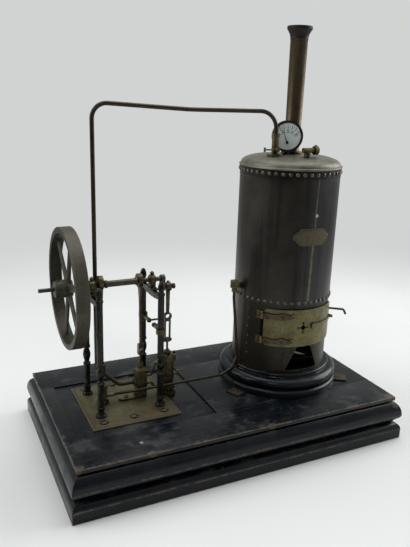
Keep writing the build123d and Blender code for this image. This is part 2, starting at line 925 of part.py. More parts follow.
def dome_arc(radius, rise):
    sweep_angle = degrees(acos((chimney_radius - chimney_wall) / radius))
    return EllipticalCenterArc((0, shell_top), radius, rise, start_angle=0, arc_size=sweep_angle)


def boiler_dome():
    outer = dome_arc(boiler_radius, dome_rise)
    inner = dome_arc(boiler_radius - shell_wall, dome_rise - shell_wall)
    outline = [outer, Line(outer @ 1, inner @ 1), inner, Line(inner @ 0, outer @ 0)]
    cap = turned(outline, boiler_x, boiler_y)
    lip = tube(boiler_x, boiler_y, boiler_radius + dome_lip, boiler_radius - shell_wall,
               shell_top, shell_top + dome_lip_height)
    skirt = tube(boiler_x, boiler_y, boiler_radius - shell_wall - part_clearance / 4,
                 boiler_radius - 2 * shell_wall, shell_top - dome_skirt, shell_top + shell_wall)
    return cap + lip + skirt


def firebox_shell():
    inner = firebox_radius - shell_wall
    shell = tube(boiler_x, boiler_y, firebox_radius, inner, firebox_bottom, seam_bottom)
    opening_half = door_half_angle - degrees(door_opening_inset / firebox_radius)
    shell -= sector(door_centre_angle - opening_half, door_centre_angle + opening_half,
                    firebox_radius + overrun, inner - overrun,
                    door_low + door_opening_inset, door_high - door_opening_inset)
    ash = make_face([
        Line((-ash_bottom_half_width, ash_bottom), (ash_bottom_half_width, ash_bottom)),
        Line((ash_bottom_half_width, ash_bottom), (ash_top_half_width, ash_top)),
        Line((ash_top_half_width, ash_top), (-ash_top_half_width, ash_top)),
        Line((-ash_top_half_width, ash_top), (-ash_bottom_half_width, ash_bottom)),
    ])
    wedge = extrude(Plane.XZ * ash, amount=2 * firebox_radius)
    shell -= Pos(boiler_x, boiler_y) * Rot(0, 0, ash_centre_angle + quarter_turn) * wedge
    return shell


def boiler_bottom():
    low = seam_bottom
    inner = boiler_radius - shell_wall - part_clearance / 4
    flue = chimney_radius
    outline = [
        Line((flue - chimney_wall, low), (inner, low)),
        Line((inner, low), (inner, low + shell_wall)),
        Line((inner, low + shell_wall), (flue, low + shell_wall)),
        Line((flue, low + shell_wall), (flue, shell_top)),
        Line((flue, shell_top), (flue - chimney_wall, shell_top)),
        Line((flue - chimney_wall, shell_top), (flue - chimney_wall, low)),
    ]
    return turned(outline, boiler_x, boiler_y)


def grate():
    outer = firebox_radius - shell_wall - part_clearance / 4
    inner = outer - grate_ring_width
    ring = tube(boiler_x, boiler_y, outer, inner, grate_height, grate_height + grate_thickness)
    pitch = 2 * inner / grate_bar_count
    for i in range(grate_bar_count):
        across = (i - (grate_bar_count - 1) / 2) * pitch
        bar = block(-outer, outer, -grate_bar_width / 2, grate_bar_width / 2, 0, grate_thickness)
        ring += Pos(boiler_x, boiler_y, grate_height) * Rot(0, 0, grate_turn) * Pos(0, across) * bar
    return ring & disc(boiler_x, boiler_y, grate_height, outer, grate_thickness)


def plaque():
    inner = boiler_radius
    half_angle = degrees(plaque_length / 2 / inner)
    plate = sector(plaque_centre_angle - half_angle, plaque_centre_angle + half_angle,
                   inner + plaque_thickness, inner,
                   plaque_height - plaque_width / 2, plaque_height + plaque_width / 2)
    corner = plaque_width * plaque_corner_share
    half_l = plaque_length / 2
    half_w = plaque_width / 2
    octagon = Polygon(
        (-half_l, -half_w + corner), (-half_l + corner, -half_w), (half_l - corner, -half_w),
        (half_l, -half_w + corner), (half_l, half_w - corner), (half_l - corner, half_w),
        (-half_l + corner, half_w), (-half_l, half_w - corner), align=None)
    cutter = extrude(Pos(0, 0, plaque_height) * (Plane.XZ * octagon), amount=2 * boiler_radius)
    return plate & (Pos(boiler_x, boiler_y) * Rot(0, 0, plaque_centre_angle + quarter_turn) * cutter)


def chimney():
    foot_top = shell_top + dome_rise + chimney_foot_height
    bore_radius = chimney_radius - chimney_wall
    outline = [
        Line((bore_radius, shell_top), (chimney_foot_radius, shell_top)),
        Line((chimney_foot_radius, shell_top), (chimney_foot_radius, foot_top)),
        Line((chimney_foot_radius, foot_top), (chimney_radius, foot_top)),
        Line((chimney_radius, foot_top), (chimney_top_radius, chimney_joint_height)),
        Line((chimney_top_radius, chimney_joint_height), (bore_radius, chimney_joint_height)),
        Line((bore_radius, chimney_joint_height), (bore_radius, shell_top)),
    ]
    return turned(outline, boiler_x, boiler_y) - dome_solid()


def chimney_mouth():
    inner = chimney_radius - chimney_wall
    low = (chimney_top_radius, chimney_joint_height)
    lip_low = (chimney_mouth_radius, chimney_top - chimney_lip_height)
    middle = (chimney_top_radius + (chimney_mouth_radius - chimney_top_radius) * flare_share,
              (chimney_joint_height + chimney_top - chimney_lip_height) / 2)
    outline = [
        Line((inner, chimney_joint_height), low),
        ThreePointArc(low, middle, lip_low),
        Line(lip_low, (chimney_mouth_radius, chimney_top)),
        Line((chimney_mouth_radius, chimney_top), (chimney_mouth_radius - chimney_wall, chimney_top)),
        Line((chimney_mouth_radius - chimney_wall, chimney_top), (inner, chimney_joint_height)),
    ]
    return turned(outline, boiler_x, boiler_y)


# Gauge

def gauge_plane(forward=0):
    turn = radians(gauge_turn)
    facing = (sin(turn), -cos(turn), 0)
    right = (cos(turn), sin(turn), 0)
    plane = Plane(origin=(gauge_x, gauge_y, gauge_height), x_dir=right, z_dir=facing)
    return plane.offset(forward)


def gauge_case():
    body = extrude(gauge_plane(-gauge_depth) * Circle(gauge_radius), amount=gauge_depth + gauge_rim_depth)
    opening = gauge_plane() * Circle(gauge_radius - gauge_bezel_width)
    pocket = extrude(opening, amount=gauge_rim_depth + overrun)
    body -= pocket
    middle = gauge_plane(-gauge_depth / 2).origin
    stem_low = dome_height(middle.X - gauge_stem_nut_radius, middle.Y - gauge_stem_nut_radius)
    stem = disc(middle.X, middle.Y, stem_low, gauge_stem_radius, gauge_height - gauge_radius - stem_low)
    nut_height = (gauge_height - gauge_radius - stem_low) * nut_share
    nut = extrude(RegularPolygon(gauge_stem_nut_radius, 6), amount=nut_height)
    nut = Pos(middle.X, middle.Y, stem_low) * nut
    joined = disc(middle.X, middle.Y, gauge_height - gauge_radius - overrun, gauge_stem_radius, 2 * overrun)
    return body + stem + nut + (joined - pocket) - dome_solid()


def gauge_dial():
    return extrude(gauge_plane() * Circle(gauge_radius - gauge_bezel_width), amount=gauge_dial_thickness)


def gauge_needle():
    low = gauge_plane(gauge_dial_thickness)
    high = gauge_plane(gauge_dial_thickness + part_clearance)
    hub = extrude(low * Pos(0, -needle_drop) * Circle(needle_hub_radius),
                  amount=part_clearance + needle_thickness)
    blade = Polygon((0, -needle_width / 2), (needle_length, 0), (0, needle_width / 2), align=None)
    blade = Pos(0, -needle_drop) * Rot(0, 0, needle_angle) * blade
    pointer = extrude(high * blade, amount=needle_thickness)
    return hub + pointer


# Steam outlet with its plug cock

def dome_height(x, y):
    share = hypot(x - boiler_x, y - boiler_y) / boiler_radius
    return shell_top + dome_rise * sqrt(1 - share ** 2)


def outlet_valve():
    low = dome_height(outlet_x - outlet_flange_radius, outlet_y)
    seat = dome_height(outlet_x + outlet_flange_radius, outlet_y)
    flange = disc(outlet_x, outlet_y, low, outlet_flange_radius, seat - low + outlet_flange_thickness)
    neck = disc(outlet_x, outlet_y, low, outlet_neck_radius, outlet_plug_height - low)
    barrel_low = outlet_plug_height + outlet_plug_radius
    body = disc(outlet_x, outlet_y, barrel_low, outlet_body_radius, outlet_top - barrel_low)
    waist = disc(outlet_x, outlet_y, outlet_plug_height - outlet_plug_radius - shell_wall,
                 outlet_body_radius, 2 * (outlet_plug_radius + shell_wall))
    bore = outlet_bore()
    return flange + neck + body + waist - bore - dome_solid()


def outlet_bore():
    reach = outlet_body_radius + overrun
    start = Plane(origin=(outlet_x, outlet_y - reach, outlet_plug_height), x_dir=(1, 0, 0), z_dir=(0, 1, 0))
    return extrude(start * Circle(outlet_plug_radius + running_clearance), amount=2 * reach)


def dome_solid():
    outer = dome_arc(boiler_radius, dome_rise)
    flue = (chimney_radius - chimney_wall, shell_top)
    return turned([outer, Line(outer @ 1, flue), Line(flue, outer @ 0)], boiler_x, boiler_y)


def cock_lever():
    front = outlet_y - outlet_body_radius - cock_head_length
    start = Plane(origin=(outlet_x, front, outlet_plug_height), x_dir=(1, 0, 0), z_dir=(0, 1, 0))
    plug = extrude(start * Circle(outlet_plug_radius), amount=2 * outlet_body_radius + cock_head_length)
    head = extrude(start * Circle(cock_head_radius), amount=cock_head_length - part_clearance)
    lever_y = front + cock_head_length / 2
    lever_end = outlet_x - cock_lever_length
    lever = rod_along_x(lever_end, outlet_x, lever_y, outlet_plug_height, cock_lever_radius)
    grip = disc(lever_end, lever_y, outlet_plug_height - cock_grip_length / 2,
                cock_lever_radius * grip_share, cock_grip_length)
    return plug + head + lever + grip


def try_cock():
    low = dome_height(try_cock_x, try_cock_y - try_cock_post_radius)
    post = disc(try_cock_x, try_cock_y, low, try_cock_post_radius, try_cock_height - low)
    barrel = rod_along_x(try_cock_x - try_cock_barrel_left, try_cock_x + try_cock_barrel_right,
                         try_cock_y, try_cock_height, try_cock_barrel_radius)
    cap_left = try_cock_x + try_cock_barrel_right
    cap_right = cap_left + try_cock_cap_length
    cap = rod_along_x(cap_left, cap_right, try_cock_y, try_cock_height, try_cock_cap_radius)
    knob_low = try_cock_height + try_cock_cap_radius - try_cock_knob_height / 2
    knob_x = (cap_left + cap_right) / 2
    knob = disc(knob_x, try_cock_y, knob_low, try_cock_knob_radius, try_cock_knob_height)
    return post + barrel + cap + knob - dome_solid()


# Firebox door

def hinge_place():
    return around_boiler(hinge_angle, firebox_radius + hinge_knuckle_radius + door_hinge_gap, 0)


def door_outer():
    return firebox_radius + door_gap + door_thickness


def firebox_door():
    plate = sector(door_centre_angle - door_half_angle, door_centre_angle + door_half_angle,
                   door_outer(), firebox_radius + door_gap, door_low, door_high)
    corners = plate.edges().filter_by(lambda e: e.length < 2 * door_thickness)
    plate = fillet(corners, door_corner_radius)
    half = star_slot_length / 2
    thin = star_slot_width / 2
    star = Polygon((-half, 0), (0, -thin), (half, 0), (0, thin), align=None)
    star += Polygon((0, -half), (thin, 0), (0, half), (-thin, 0), align=None)
    star += Circle(star_hole_radius)
    star += [spot * Circle(star_eye_radius) for spot in PolarLocations(half, 4)]
    cutter = extrude(Pos(0, 0, star_height) * (Plane.XZ * star), amount=2 * firebox_radius)
    return plate - Pos(boiler_x, boiler_y) * Rot(0, 0, star_angle + quarter_turn) * cutter


def door_straps():
    x, y, _ = hinge_place()
    straps = []
    for z in hinge_heights:
        left = door_centre_angle - door_half_angle
        strap = sector(hinge_angle, left + hinge_strap_angle,
                       door_outer() + hinge_strap_thickness, door_outer(),
                       z - hinge_strap_height / 2, z + hinge_strap_height / 2)
        knuckle = disc(x, y, z - hinge_knuckle_height / 2, hinge_knuckle_radius, hinge_knuckle_height)
        end = Plane(origin=around_boiler(left + hinge_strap_angle, door_outer(), z),
                    z_dir=around_direction(left + hinge_strap_angle))
        tip = extrude(end * Circle(hinge_strap_height * tip_share), amount=hinge_strap_thickness)
        tip -= disc(boiler_x, boiler_y, door_low, door_outer(), door_high - door_low)
        whole = strap + knuckle + tip
        bore = disc(x, y, z - hinge_knuckle_height,
                    hinge_pin_radius + running_clearance, 2 * hinge_knuckle_height)
        straps.append((whole - bore).solids()[0])
    return Compound(straps)


def around_direction(angle):
    turn = radians(angle)
    return (cos(turn), sin(turn), 0)


def hinge_leaves():
    x, y, _ = hinge_place()
    leaves = []
    for z in hinge_heights:
        reach = hinge_knuckle_height / 2 + running_clearance
        half = reach + hinge_knuckle_radius
        caps = disc(x, y, z - half, hinge_pin_radius, 2 * half)
        for low in (z - half, z + reach):
            caps += disc(x, y, low, hinge_knuckle_radius, hinge_knuckle_radius)
            caps += sector(hinge_angle - hinge_leaf_angle, hinge_angle,
                           firebox_radius + hinge_knuckle_radius, firebox_radius,
                           low, low + hinge_knuckle_radius)
        back = sector(hinge_angle - hinge_leaf_angle, hinge_angle - hinge_leaf_angle / 2,
                      firebox_radius + hinge_strap_thickness, firebox_radius, z - half, z + half)
        leaves.append((caps + back).solids()[0])
    return Compound(leaves)


def door_latch():
    outer = door_outer()
    end_angle = door_centre_angle + door_half_angle
    bar_end = end_angle + latch_end_angle
    bar = sector(latch_pivot_angle, bar_end, outer + hinge_strap_thickness, outer,
                 latch_height - latch_bar_height / 2, latch_height + latch_bar_height / 2)
    middle = around_boiler(latch_pivot_angle, outer, latch_height)
    boss = Plane(origin=middle, z_dir=around_direction(latch_pivot_angle))
    pivot = extrude(boss * Circle(latch_bar_height * tip_share), amount=2 * hinge_strap_thickness)
    pivot -= disc(boiler_x, boiler_y, door_low, outer, door_high - door_low)
    knob_angle = bar_end - latch_end_angle / 2
    knob_root = around_boiler(knob_angle, outer, latch_height)
    knob_end = around_boiler(knob_angle, outer + latch_knob_length, latch_height)
    knob = rod_between(knob_root, knob_end, latch_knob_radius)
    return bar + pivot + knob


def latch_catch():
    reach = firebox_radius + catch_length
    inner = around_boiler(catch_angle, firebox_radius - shell_wall, catch_height)
    corner = around_boiler(catch_angle, reach, catch_height)
    tip = around_boiler(catch_angle, reach + catch_hook_reach, catch_height - catch_hook_drop)
    hook = pipe([inner, corner, tip], [catch_bend_radius], catch_radius)
    return hook - disc(boiler_x, boiler_y, catch_height - overrun, firebox_radius, 2 * overrun)


# Moving parts of the engine

def crankshaft():
    left_end = rod_along_x(shaft_left, flywheel_left, shaft_y, shaft_height, shaft_end_radius)
    shaft = rod_along_x(flywheel_left - hub_overhang, web_right, shaft_y, shaft_height, shaft_radius)
    web = rod_along_x(web_left, web_right, shaft_y, shaft_height, crank_web_radius)
    web += rod_along_x(web_left, web_right, shaft_y, crank_pin_height, crank_web_radius * web_foot_share)
    web += block(web_left, web_right, shaft_y - crank_web_radius * web_foot_share,
                 shaft_y + crank_web_radius * web_foot_share, crank_pin_height, shaft_height)
    pin = rod_along_x(web_right, web_right + crank_pin_length, shaft_y, crank_pin_height, crank_pin_radius)
    nut_x = web_right + crank_pin_length - crank_nut_thickness
    nut_plane = Plane(origin=(nut_x, shaft_y, crank_pin_height), x_dir=(0, 1, 0), z_dir=(1, 0, 0))
    nut = extrude(nut_plane * RegularPolygon(crank_nut_radius, 6), amount=crank_nut_thickness)
    return left_end + shaft + web + pin + nut


def flywheel():
    rim_inner = flywheel_radius - rim_thickness
    rim = rod_along_x(flywheel_left, flywheel_right, shaft_y, shaft_height, flywheel_radius)
    rim -= rod_along_x(flywheel_left - overrun, flywheel_right + overrun, shaft_y, shaft_height, rim_inner)
    hub_left = flywheel_left - hub_overhang
    hub = rod_along_x(hub_left, hub_left + hub_length, shaft_y, shaft_height, hub_radius)
    wheel = rim + hub
    middle = (flywheel_left + flywheel_right) / 2
    inner_end = hub_radius - shaft_radius
    outer_end = rim_inner + rim_thickness / 2
    for i in range(spoke_count):
        turn = 360 / spoke_count * (i + spoke_phase_share)
        root = Plane.XY.offset(inner_end) * Ellipse(spoke_thickness / 2, spoke_root_width / 2)
        tip = Plane.XY.offset(outer_end) * Ellipse(spoke_thickness / 2, spoke_tip_width / 2)
        wheel += Pos(middle, shaft_y, shaft_height) * Rot(turn, 0, 0) * loft([root, tip])
    bore_end = flywheel_right + overrun
    return wheel - rod_along_x(hub_left - overrun, bore_end, shaft_y, shaft_height, shaft_radius)


def sheave(x, dy, dz):
    y = shaft_y + dy
    z = shaft_height + dz
    half = sheave_width / 2
    body = rod_along_x(x - half, x + half, y, z, sheave_radius)
    lip = rod_along_x(x - half - sheave_lip_width, x - half, y, z, sheave_lip_radius)
    bore = rod_along_x(x - 2 * half, x + 2 * half, shaft_y, shaft_height, shaft_radius)
    return body + lip - bore


def eccentrics():
    return Compound([
        sheave(valve_rod_x, eccentric_throw, 0).solids()[0],
        sheave(pump_x, 0, eccentric_throw).solids()[0],
    ])


def strap_and_rod(x, top, bottom, width):
    # top is the sheave's centre and bottom the lower eye, each (y, z).
    ring = rod_along_x(x - width / 2, x + width / 2, top[0], top[1], strap_radius)
    half = eccentric_rod_thickness / 2
    lean = atan2(bottom[0] - top[0], top[1] - bottom[1])
    length = hypot(bottom[0] - top[0], top[1] - bottom[1])
    wide = eccentric_rod_top_width / 2
    thin = eccentric_rod_bottom_width / 2
    taper = length * rod_taper_share
    blade = Polygon(
        (-wide, 0), (-thin, -taper), (-thin, -length), (thin, -length), (thin, -taper), (wide, 0), align=None)
    plane = Plane(origin=(x - half, top[0], top[1]), x_dir=(0, cos(lean), sin(lean)), z_dir=(1, 0, 0))
    rod = extrude(plane * blade, amount=2 * half)
    eye = rod_along_x(x - half, x + half, bottom[0], bottom[1], eccentric_eye_radius)
    bore = rod_along_x(x - width, x + width, top[0], top[1], sheave_radius + running_clearance)
    return ring + rod + eye - bore


def valve_eccentric_rod():
    top = (shaft_y + eccentric_throw, shaft_height)
    return strap_and_rod(valve_rod_x, top, (shaft_y, valve_joint_height), sheave_width - part_clearance)


def pump_eccentric_rod():
    top = (shaft_y, shaft_height + eccentric_throw)
    return strap_and_rod(pump_x, top, (shaft_y, pump_joint_height), sheave_width - part_clearance)


def joint_fork(x, y, z):
    half = joint_fork_gap / 2
    drop = 2 * valve_travel + eccentric_eye_radius + part_clearance
    base = block(x - half - joint_fork_wall, x + half + joint_fork_wall, y - joint_fork_depth / 2,
                 y + joint_fork_depth / 2, z - drop - joint_fork_wall * 2, z - drop)
    for left in (x - half - joint_fork_wall, x + half):
        base += block(left, left + joint_fork_wall, y - joint_fork_depth / 2, y + joint_fork_depth / 2,
                      z - drop, z)
        base += rod_along_x(left, left + joint_fork_wall, y, z, joint_fork_depth / 2)
    return base, z - drop - joint_fork_wall * 2


def valve_spindle():
    fork, low = joint_fork(valve_rod_x, shaft_y, valve_joint_height)
    foot = chest_top - chest_height / 2 + valve_travel + part_clearance
    return fork + disc(valve_rod_x, shaft_y, foot, spindle_radius, low - foot)


def pump_ram():
    fork, low = joint_fork(pump_x, shaft_y, pump_joint_height)
    bore_low = plate_top + pump_outlet_height + pump_outlet_radius + pump_bore_radius
    foot = bore_low + pump_travel + part_clearance
    ram = disc(pump_x, shaft_y, foot, pump_ram_radius, low - foot)
    return fork + ram


def connecting_rod():
    low = crosshead_z
    ring_z = crank_pin_height - rod_length * rod_ring_drop_share
    half_gap = fork_gap / 2
    big_left = rod_x - big_end_width / 2
    big = rod_along_x(big_left, big_left + big_end_width, shaft_y, crank_pin_height, big_end_radius)
    shank_low = ring_z + rod_ring_radius
    shank = Pos(rod_x, shaft_y, shank_low) * Cone(
        rod_bottom_radius, rod_top_radius, crank_pin_height - shank_low,
        align=(Align.CENTER, Align.CENTER, Align.MIN))
    ring_plane = Plane(origin=(rod_x, shaft_y, ring_z), x_dir=(1, 0, 0), z_dir=(0, 1, 0))
    ring_face = Circle(rod_ring_radius + rod_ring_tube) - Circle(rod_ring_radius - rod_ring_tube)
    ring = extrude(ring_plane * ring_face, amount=prong_depth / 2, both=True)
    bridge_z = ring_z - rod_ring_radius - rod_ring_tube
    outer = half_gap + prong_thickness
    bridge = block(rod_x - outer, rod_x + outer, shaft_y - prong_depth / 2, shaft_y + prong_depth / 2,
                   bridge_z - fork_bridge_height / 2, bridge_z + fork_bridge_height / 2)
    rod = big + shank + ring + bridge
    sides = ((rod_x - outer, rod_x - outer - fork_nut_thickness), (rod_x + half_gap, rod_x + outer))
    for left, nut_left in sides:
        rod += block(left, left + prong_thickness,
                     shaft_y - prong_depth / 2, shaft_y + prong_depth / 2, low, bridge_z)
        rod += rod_along_x(left, left + prong_thickness, shaft_y, low, fork_eye_radius)
        rod += rod_along_x(nut_left, nut_left + fork_nut_thickness, shaft_y, low, fork_nut_radius)
    cup = Pos(rod_x, shaft_y, crank_pin_height + big_end_radius - oil_cup_sink) * Cone(
        oil_cup_radius, oil_cup_radius / 2, oil_cup_height / 2,
        align=(Align.CENTER, Align.CENTER, Align.MIN))
    bore = rod_along_x(rod_x - big_end_width, rod_x + big_end_width, shaft_y, crank_pin_height,
                       crank_pin_radius + running_clearance)
    return rod + cup - bore


def crosshead():
    half = fork_gap / 2 - part_clearance
    head = block(rod_x - half, rod_x + half, shaft_y - crosshead_depth / 2, shaft_y + crosshead_depth / 2,
                 crosshead_z - crosshead_height / 2, crosshead_z + crosshead_height / 2)
    foot = plate_top + cylinder_floor_thickness + part_clearance
    middle = foot + piston_thickness / 2
    rod = disc(rod_x, shaft_y, middle, piston_rod_radius, crosshead_z - middle)
    piston = disc(rod_x, shaft_y, foot, cylinder_bore_radius - running_clearance, piston_thickness)
    return head + rod + piston


def export(name, shape):
    export_step(shape, os.path.join("parts", name + ".step"))


os.makedirs("parts", exist_ok=True)

export("plinth_base", mitred(base_length, base_depth, base_outline))
export("plinth_moulding", mitred(base_length, base_depth, moulding_outline))
export("plinth_rails", plinth_rails())
export("plinth_stile", plinth_stile())
export("plinth_engine_panel", plinth_panel())
export("plinth_boiler_board", plinth_boiler_board())
export("bed_plate", bed_plate())
for side, column_x in zip(("left", "right"), column_xs):
    for end, column_y in zip(("front", "back"), column_ys):
        export("column_" + end + "_" + side, column(column_x, column_y))
    export("cross_beam_" + side, cross_beam(column_x))
    export("bearing_" + side, bearing(column_x))
export("guide_bracket", guide_bracket())
export("steam_cylinder", steam_cylinder())
export("cylinder_cover", cylinder_cover())
export("drain_cock", drain_cock())
export("valve_chest", valve_chest())
export("steam_passages", steam_passages())
export("feed_pump", feed_pump())
export("steam_pipe", steam_pipe())
export("feed_pipe", feed_pipe())
export("check_valve", check_valve())
export("boiler_ring", boiler_ring())
export("boiler_lugs", boiler_lugs())
export("boiler_shell", boiler_shell())
export("boiler_dome", boiler_dome())
export("firebox_shell", firebox_shell())
export("boiler_bottom", boiler_bottom())
export("grate", grate())
export("plaque", plaque())
export("chimney_tube", chimney())
export("chimney_mouth", chimney_mouth())
export("gauge_case", gauge_case())
export("gauge_dial", gauge_dial())
export("gauge_needle", gauge_needle())
export("outlet_valve", outlet_valve())
export("cock_lever", cock_lever())
export("try_cock", try_cock())
export("hinge_leaves", hinge_leaves())
export("latch_catch", latch_catch())
export("firebox_door", firebox_door())
export("door_straps", door_straps())
export("door_latch", door_latch())
export("crankshaft", crankshaft())
export("flywheel", flywheel())
export("eccentrics", eccentrics())
export("connecting_rod", connecting_rod())
export("crosshead", crosshead())
export("valve_eccentric_rod", valve_eccentric_rod())
export("valve_spindle", valve_spindle())
export("pump_eccentric_rod", pump_eccentric_rod())
export("pump_ram", pump_ram())
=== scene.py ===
import math
import bpy
from mathutils import Matrix, Vector


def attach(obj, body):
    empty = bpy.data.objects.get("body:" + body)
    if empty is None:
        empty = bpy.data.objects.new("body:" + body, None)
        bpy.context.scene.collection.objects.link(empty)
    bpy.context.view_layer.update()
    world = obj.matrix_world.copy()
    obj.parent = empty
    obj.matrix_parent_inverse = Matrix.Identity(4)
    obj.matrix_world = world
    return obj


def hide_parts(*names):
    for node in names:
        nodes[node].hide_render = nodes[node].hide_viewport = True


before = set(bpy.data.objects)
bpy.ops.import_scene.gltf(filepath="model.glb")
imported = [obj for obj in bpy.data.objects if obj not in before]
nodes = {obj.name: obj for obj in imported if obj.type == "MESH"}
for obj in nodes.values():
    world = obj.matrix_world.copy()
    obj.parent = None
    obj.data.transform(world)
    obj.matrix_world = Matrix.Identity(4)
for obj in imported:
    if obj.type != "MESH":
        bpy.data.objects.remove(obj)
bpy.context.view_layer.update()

# The plinth is a moulded wooden base: a cove, and a round nose on it, glued and
# pinned, stained and then painted black. The paint has gone thin on its edges
# and the mitred corners, where brown wood shows.
mm = 0.001
base_length, base_depth = 414.6, 246.6
half_length, half_depth = base_length / 2, base_depth / 2
base_arris = 0.6
cove_foot, cove_reach, cove_rise = 12.5, 8.7, 7.8
moulding_foot, moulding_top = 20.3, 50.0
nose_inset, nose_reach, nose_height, nose_drop, nose_rise = 11.9, 11.5, 31.5, 8.0, 17.2
nose_chips = [((0.1995, -0.116, 0.044), 0.006)]


class Flow:
    """One value, colour or vector on its way through a finish's nodes."""

    def __init__(self, finish, socket):
        self.finish = finish
        self.socket = socket

    def worked(self, how, *values):
        return self.finish.node("ShaderNodeMath", {"operation": how}, *values)

    def __add__(self, other):
        return self.worked("ADD", self, other)

    def __sub__(self, other):
        return self.worked("SUBTRACT", self, other)

    def __rsub__(self, other):
        return self.worked("SUBTRACT", other, self)

    def __mul__(self, other):
        return self.worked("MULTIPLY", self, other)

    __radd__ = __add__
    __rmul__ = __mul__

    def size(self):
        return self.worked("ABSOLUTE", self)

    def larger(self, other):
        return self.worked("MAXIMUM", self, other)

    def smaller(self, other):
        return self.worked("MINIMUM", self, other)

    def ease(self, low, high, out_low=0.0, out_high=1.0):
        settings = {"interpolation_type": "SMOOTHSTEP"}
        return self.finish.node("ShaderNodeMapRange", settings, self, low, high, out_low, out_high)

    def axes(self):
        split = self.finish.node("ShaderNodeSeparateXYZ", {}, self).socket.node
        return [Flow(self.finish, split.outputs[k]) for k in range(3)]


class Finish:
    """A finish built from nodes around one shader, of a material or of the world."""

    def __init__(self, name, tree=None):
        if tree is None:
            self.material = bpy.data.materials.new(name)
            self.material.use_nodes = True
            self.tree = self.material.node_tree
            self.shader = self.tree.nodes["Principled BSDF"]
            self.place = self.node("ShaderNodeTexCoord", {}, output="Object")
        else:
            self.tree = tree
            self.shader = self.tree.nodes["Background"]
            self.place = self.node("ShaderNodeTexCoord", {}, output="Generated")

    def feed(self, socket, value):
        """Links what nodes have worked out to a socket, or writes a plain value on it."""
        if isinstance(value, Flow):
            self.tree.links.new(value.socket, socket)
        elif value is not None:
            socket.default_value = value

    def node(self, kind, settings, *values, output=0, **named):
        made = self.tree.nodes.new(kind)
        for key, value in settings.items():
            setattr(made, key, value)
        for socket, value in zip(made.inputs, values):
            self.feed(socket, value)
        for key, value in named.items():
            self.feed(made.inputs[key.replace("_", " ")], value)
        return Flow(self, made.outputs[output])

    def noise(self, size, detail=4.0, rough=0.55, stretch=(1, 1, 1), shift=(0, 0, 0)):
        """Cloudy value near 0 to 1 with blotches about size metres across."""
        place = self.node("ShaderNodeMapping", {}, self.place, Location=shift, Scale=stretch)
        return self.node("ShaderNodeTexNoise", {}, place, Scale=1.0 / size, Detail=detail, Roughness=rough)

    def near(self, centre, reach, ragged=0.5):
        """One within about reach metres of a place, nought outside, with a ragged edge."""
        away = self.node("ShaderNodeVectorMath", {"operation": "DISTANCE"}, self.place, centre, output="Value")
        cloud = self.noise(reach * 0.9, 4.0, 0.6, shift=centre)
        return (away + (cloud - 0.5) * (reach * ragged * 2)).ease(reach, reach * 0.75)

    def crevice_shade(self, reach):
        """A mask for painted shade: nought on open faces, rising to one in corners less than reach metres wide."""
        open_share = self.node("ShaderNodeAmbientOcclusion", {"samples": 8}, Distance=reach, output="AO")
        return open_share.ease(0.95, 0.5)

    def normal_z(self):
        return self.node("ShaderNodeNewGeometry", {}, output="Normal").axes()[2]

    def blend(self, share, below, above):
        mix = self.node("ShaderNodeMix", {"data_type": "RGBA"}, output=2)
        sockets = mix.socket.node.inputs
        for socket, value in ((sockets[0], share), (sockets[6], below), (sockets[7], above)):
            self.feed(socket, (*value, 1.0) if isinstance(value, tuple) else value)
        return mix

    def done(self, colour, rough, metal=0.0, bump=None, depth=0.0002, coat=0.0, shine=0.5):
        for key, value in (("Base Color", colour), ("Roughness", rough), ("Metallic", metal), ("Coat Weight", coat),
                           ("Specular IOR Level", shine), ("Coat Roughness", 0.25)):
            self.feed(self.shader.inputs[key], value)
        if bump is not None:
            relief = self.node("ShaderNodeBump", {}, Strength=0.6, Distance=depth, Height=bump)
            self.feed(self.shader.inputs["Normal"], relief)
        return self.material


def black_paint(name, arrises, corner, wear, gloss, seed=0.0, chips=()):
    """Old black paint on wood, rubbed through in places along its arrises (height, half length, half depth), with dust
    and painted sheen on its upward faces and edges.
    """
    f = Finish(name)
    x, y, z = f.place.axes()
    cloud = f.noise(0.06, 6.0, 0.6, shift=(seed, 0, 0))
    fine = f.noise(0.0035, 5.0, 0.7, shift=(0, seed, 0))
    patch = f.noise(0.022, 5.0, 0.65, shift=(seed, 0.4, 0.2))
    scratch = f.noise(0.0014, 3.0, 0.5, stretch=(0.05, 1, 1), shift=(seed, seed, 0))
    edge = (corner[0] * mm - x.size()).larger(corner[1] * mm - y.size())
    for height, half_x, half_y in arrises:
        side = (half_x * mm - x.size()).smaller(half_y * mm - y.size())
        edge = edge.smaller((z - height * mm).size().larger(side.size()))
    worn_from = 0.66 - 0.1 * wear
    rubbed = (patch * 0.55 + fine * 0.45 + edge.ease(0.0022, 0.0) * 0.16).ease(worn_from, worn_from + 0.03)
    rubbed = rubbed * edge.ease(0.0045, 0.001)
    for centre, reach in chips:
        rubbed = rubbed.larger(f.near(centre, reach, 0.8) * fine.ease(0.35, 0.55))
    up = f.normal_z().ease(0.7, 1.0)
    # The pale tone on upward faces, along fine scratch lines and along the arrises is partly real dust and wear and
    # partly painted sheen and painted highlight.
    dust_and_sheen = patch.ease(0.52, 0.66) * up * 0.9 + scratch.ease(0.56, 0.66) * (0.2 + up * 0.35)
    dust_and_sheen = dust_and_sheen + edge.ease(0.0016, 0.0) * 0.5
    paint = f.blend(cloud.ease(0.35, 0.65), (0.0008, 0.0022, 0.0052), (0.0026, 0.0040, 0.0060))
    paint_dust_and_sheen = f.blend(dust_and_sheen * 0.2, paint, (0.13, 0.135, 0.125))
    wood = f.blend(fine, (0.07, 0.042, 0.024), (0.17, 0.13, 0.085))
    colour = f.blend(rubbed * 0.6, paint_dust_and_sheen, wood)
    rough = cloud.ease(0.35, 0.65, gloss, gloss + 0.2) + rubbed * 0.25 + patch.ease(0.45, 0.75) * 0.14
    grain = f.noise(0.0035, 4.0, 0.6, stretch=(0.12, 1, 1))
    return f.done(colour, rough, 0.0, grain * 0.4 + fine * 0.4 - rubbed * 0.6, 0.00016, shine=0.27)


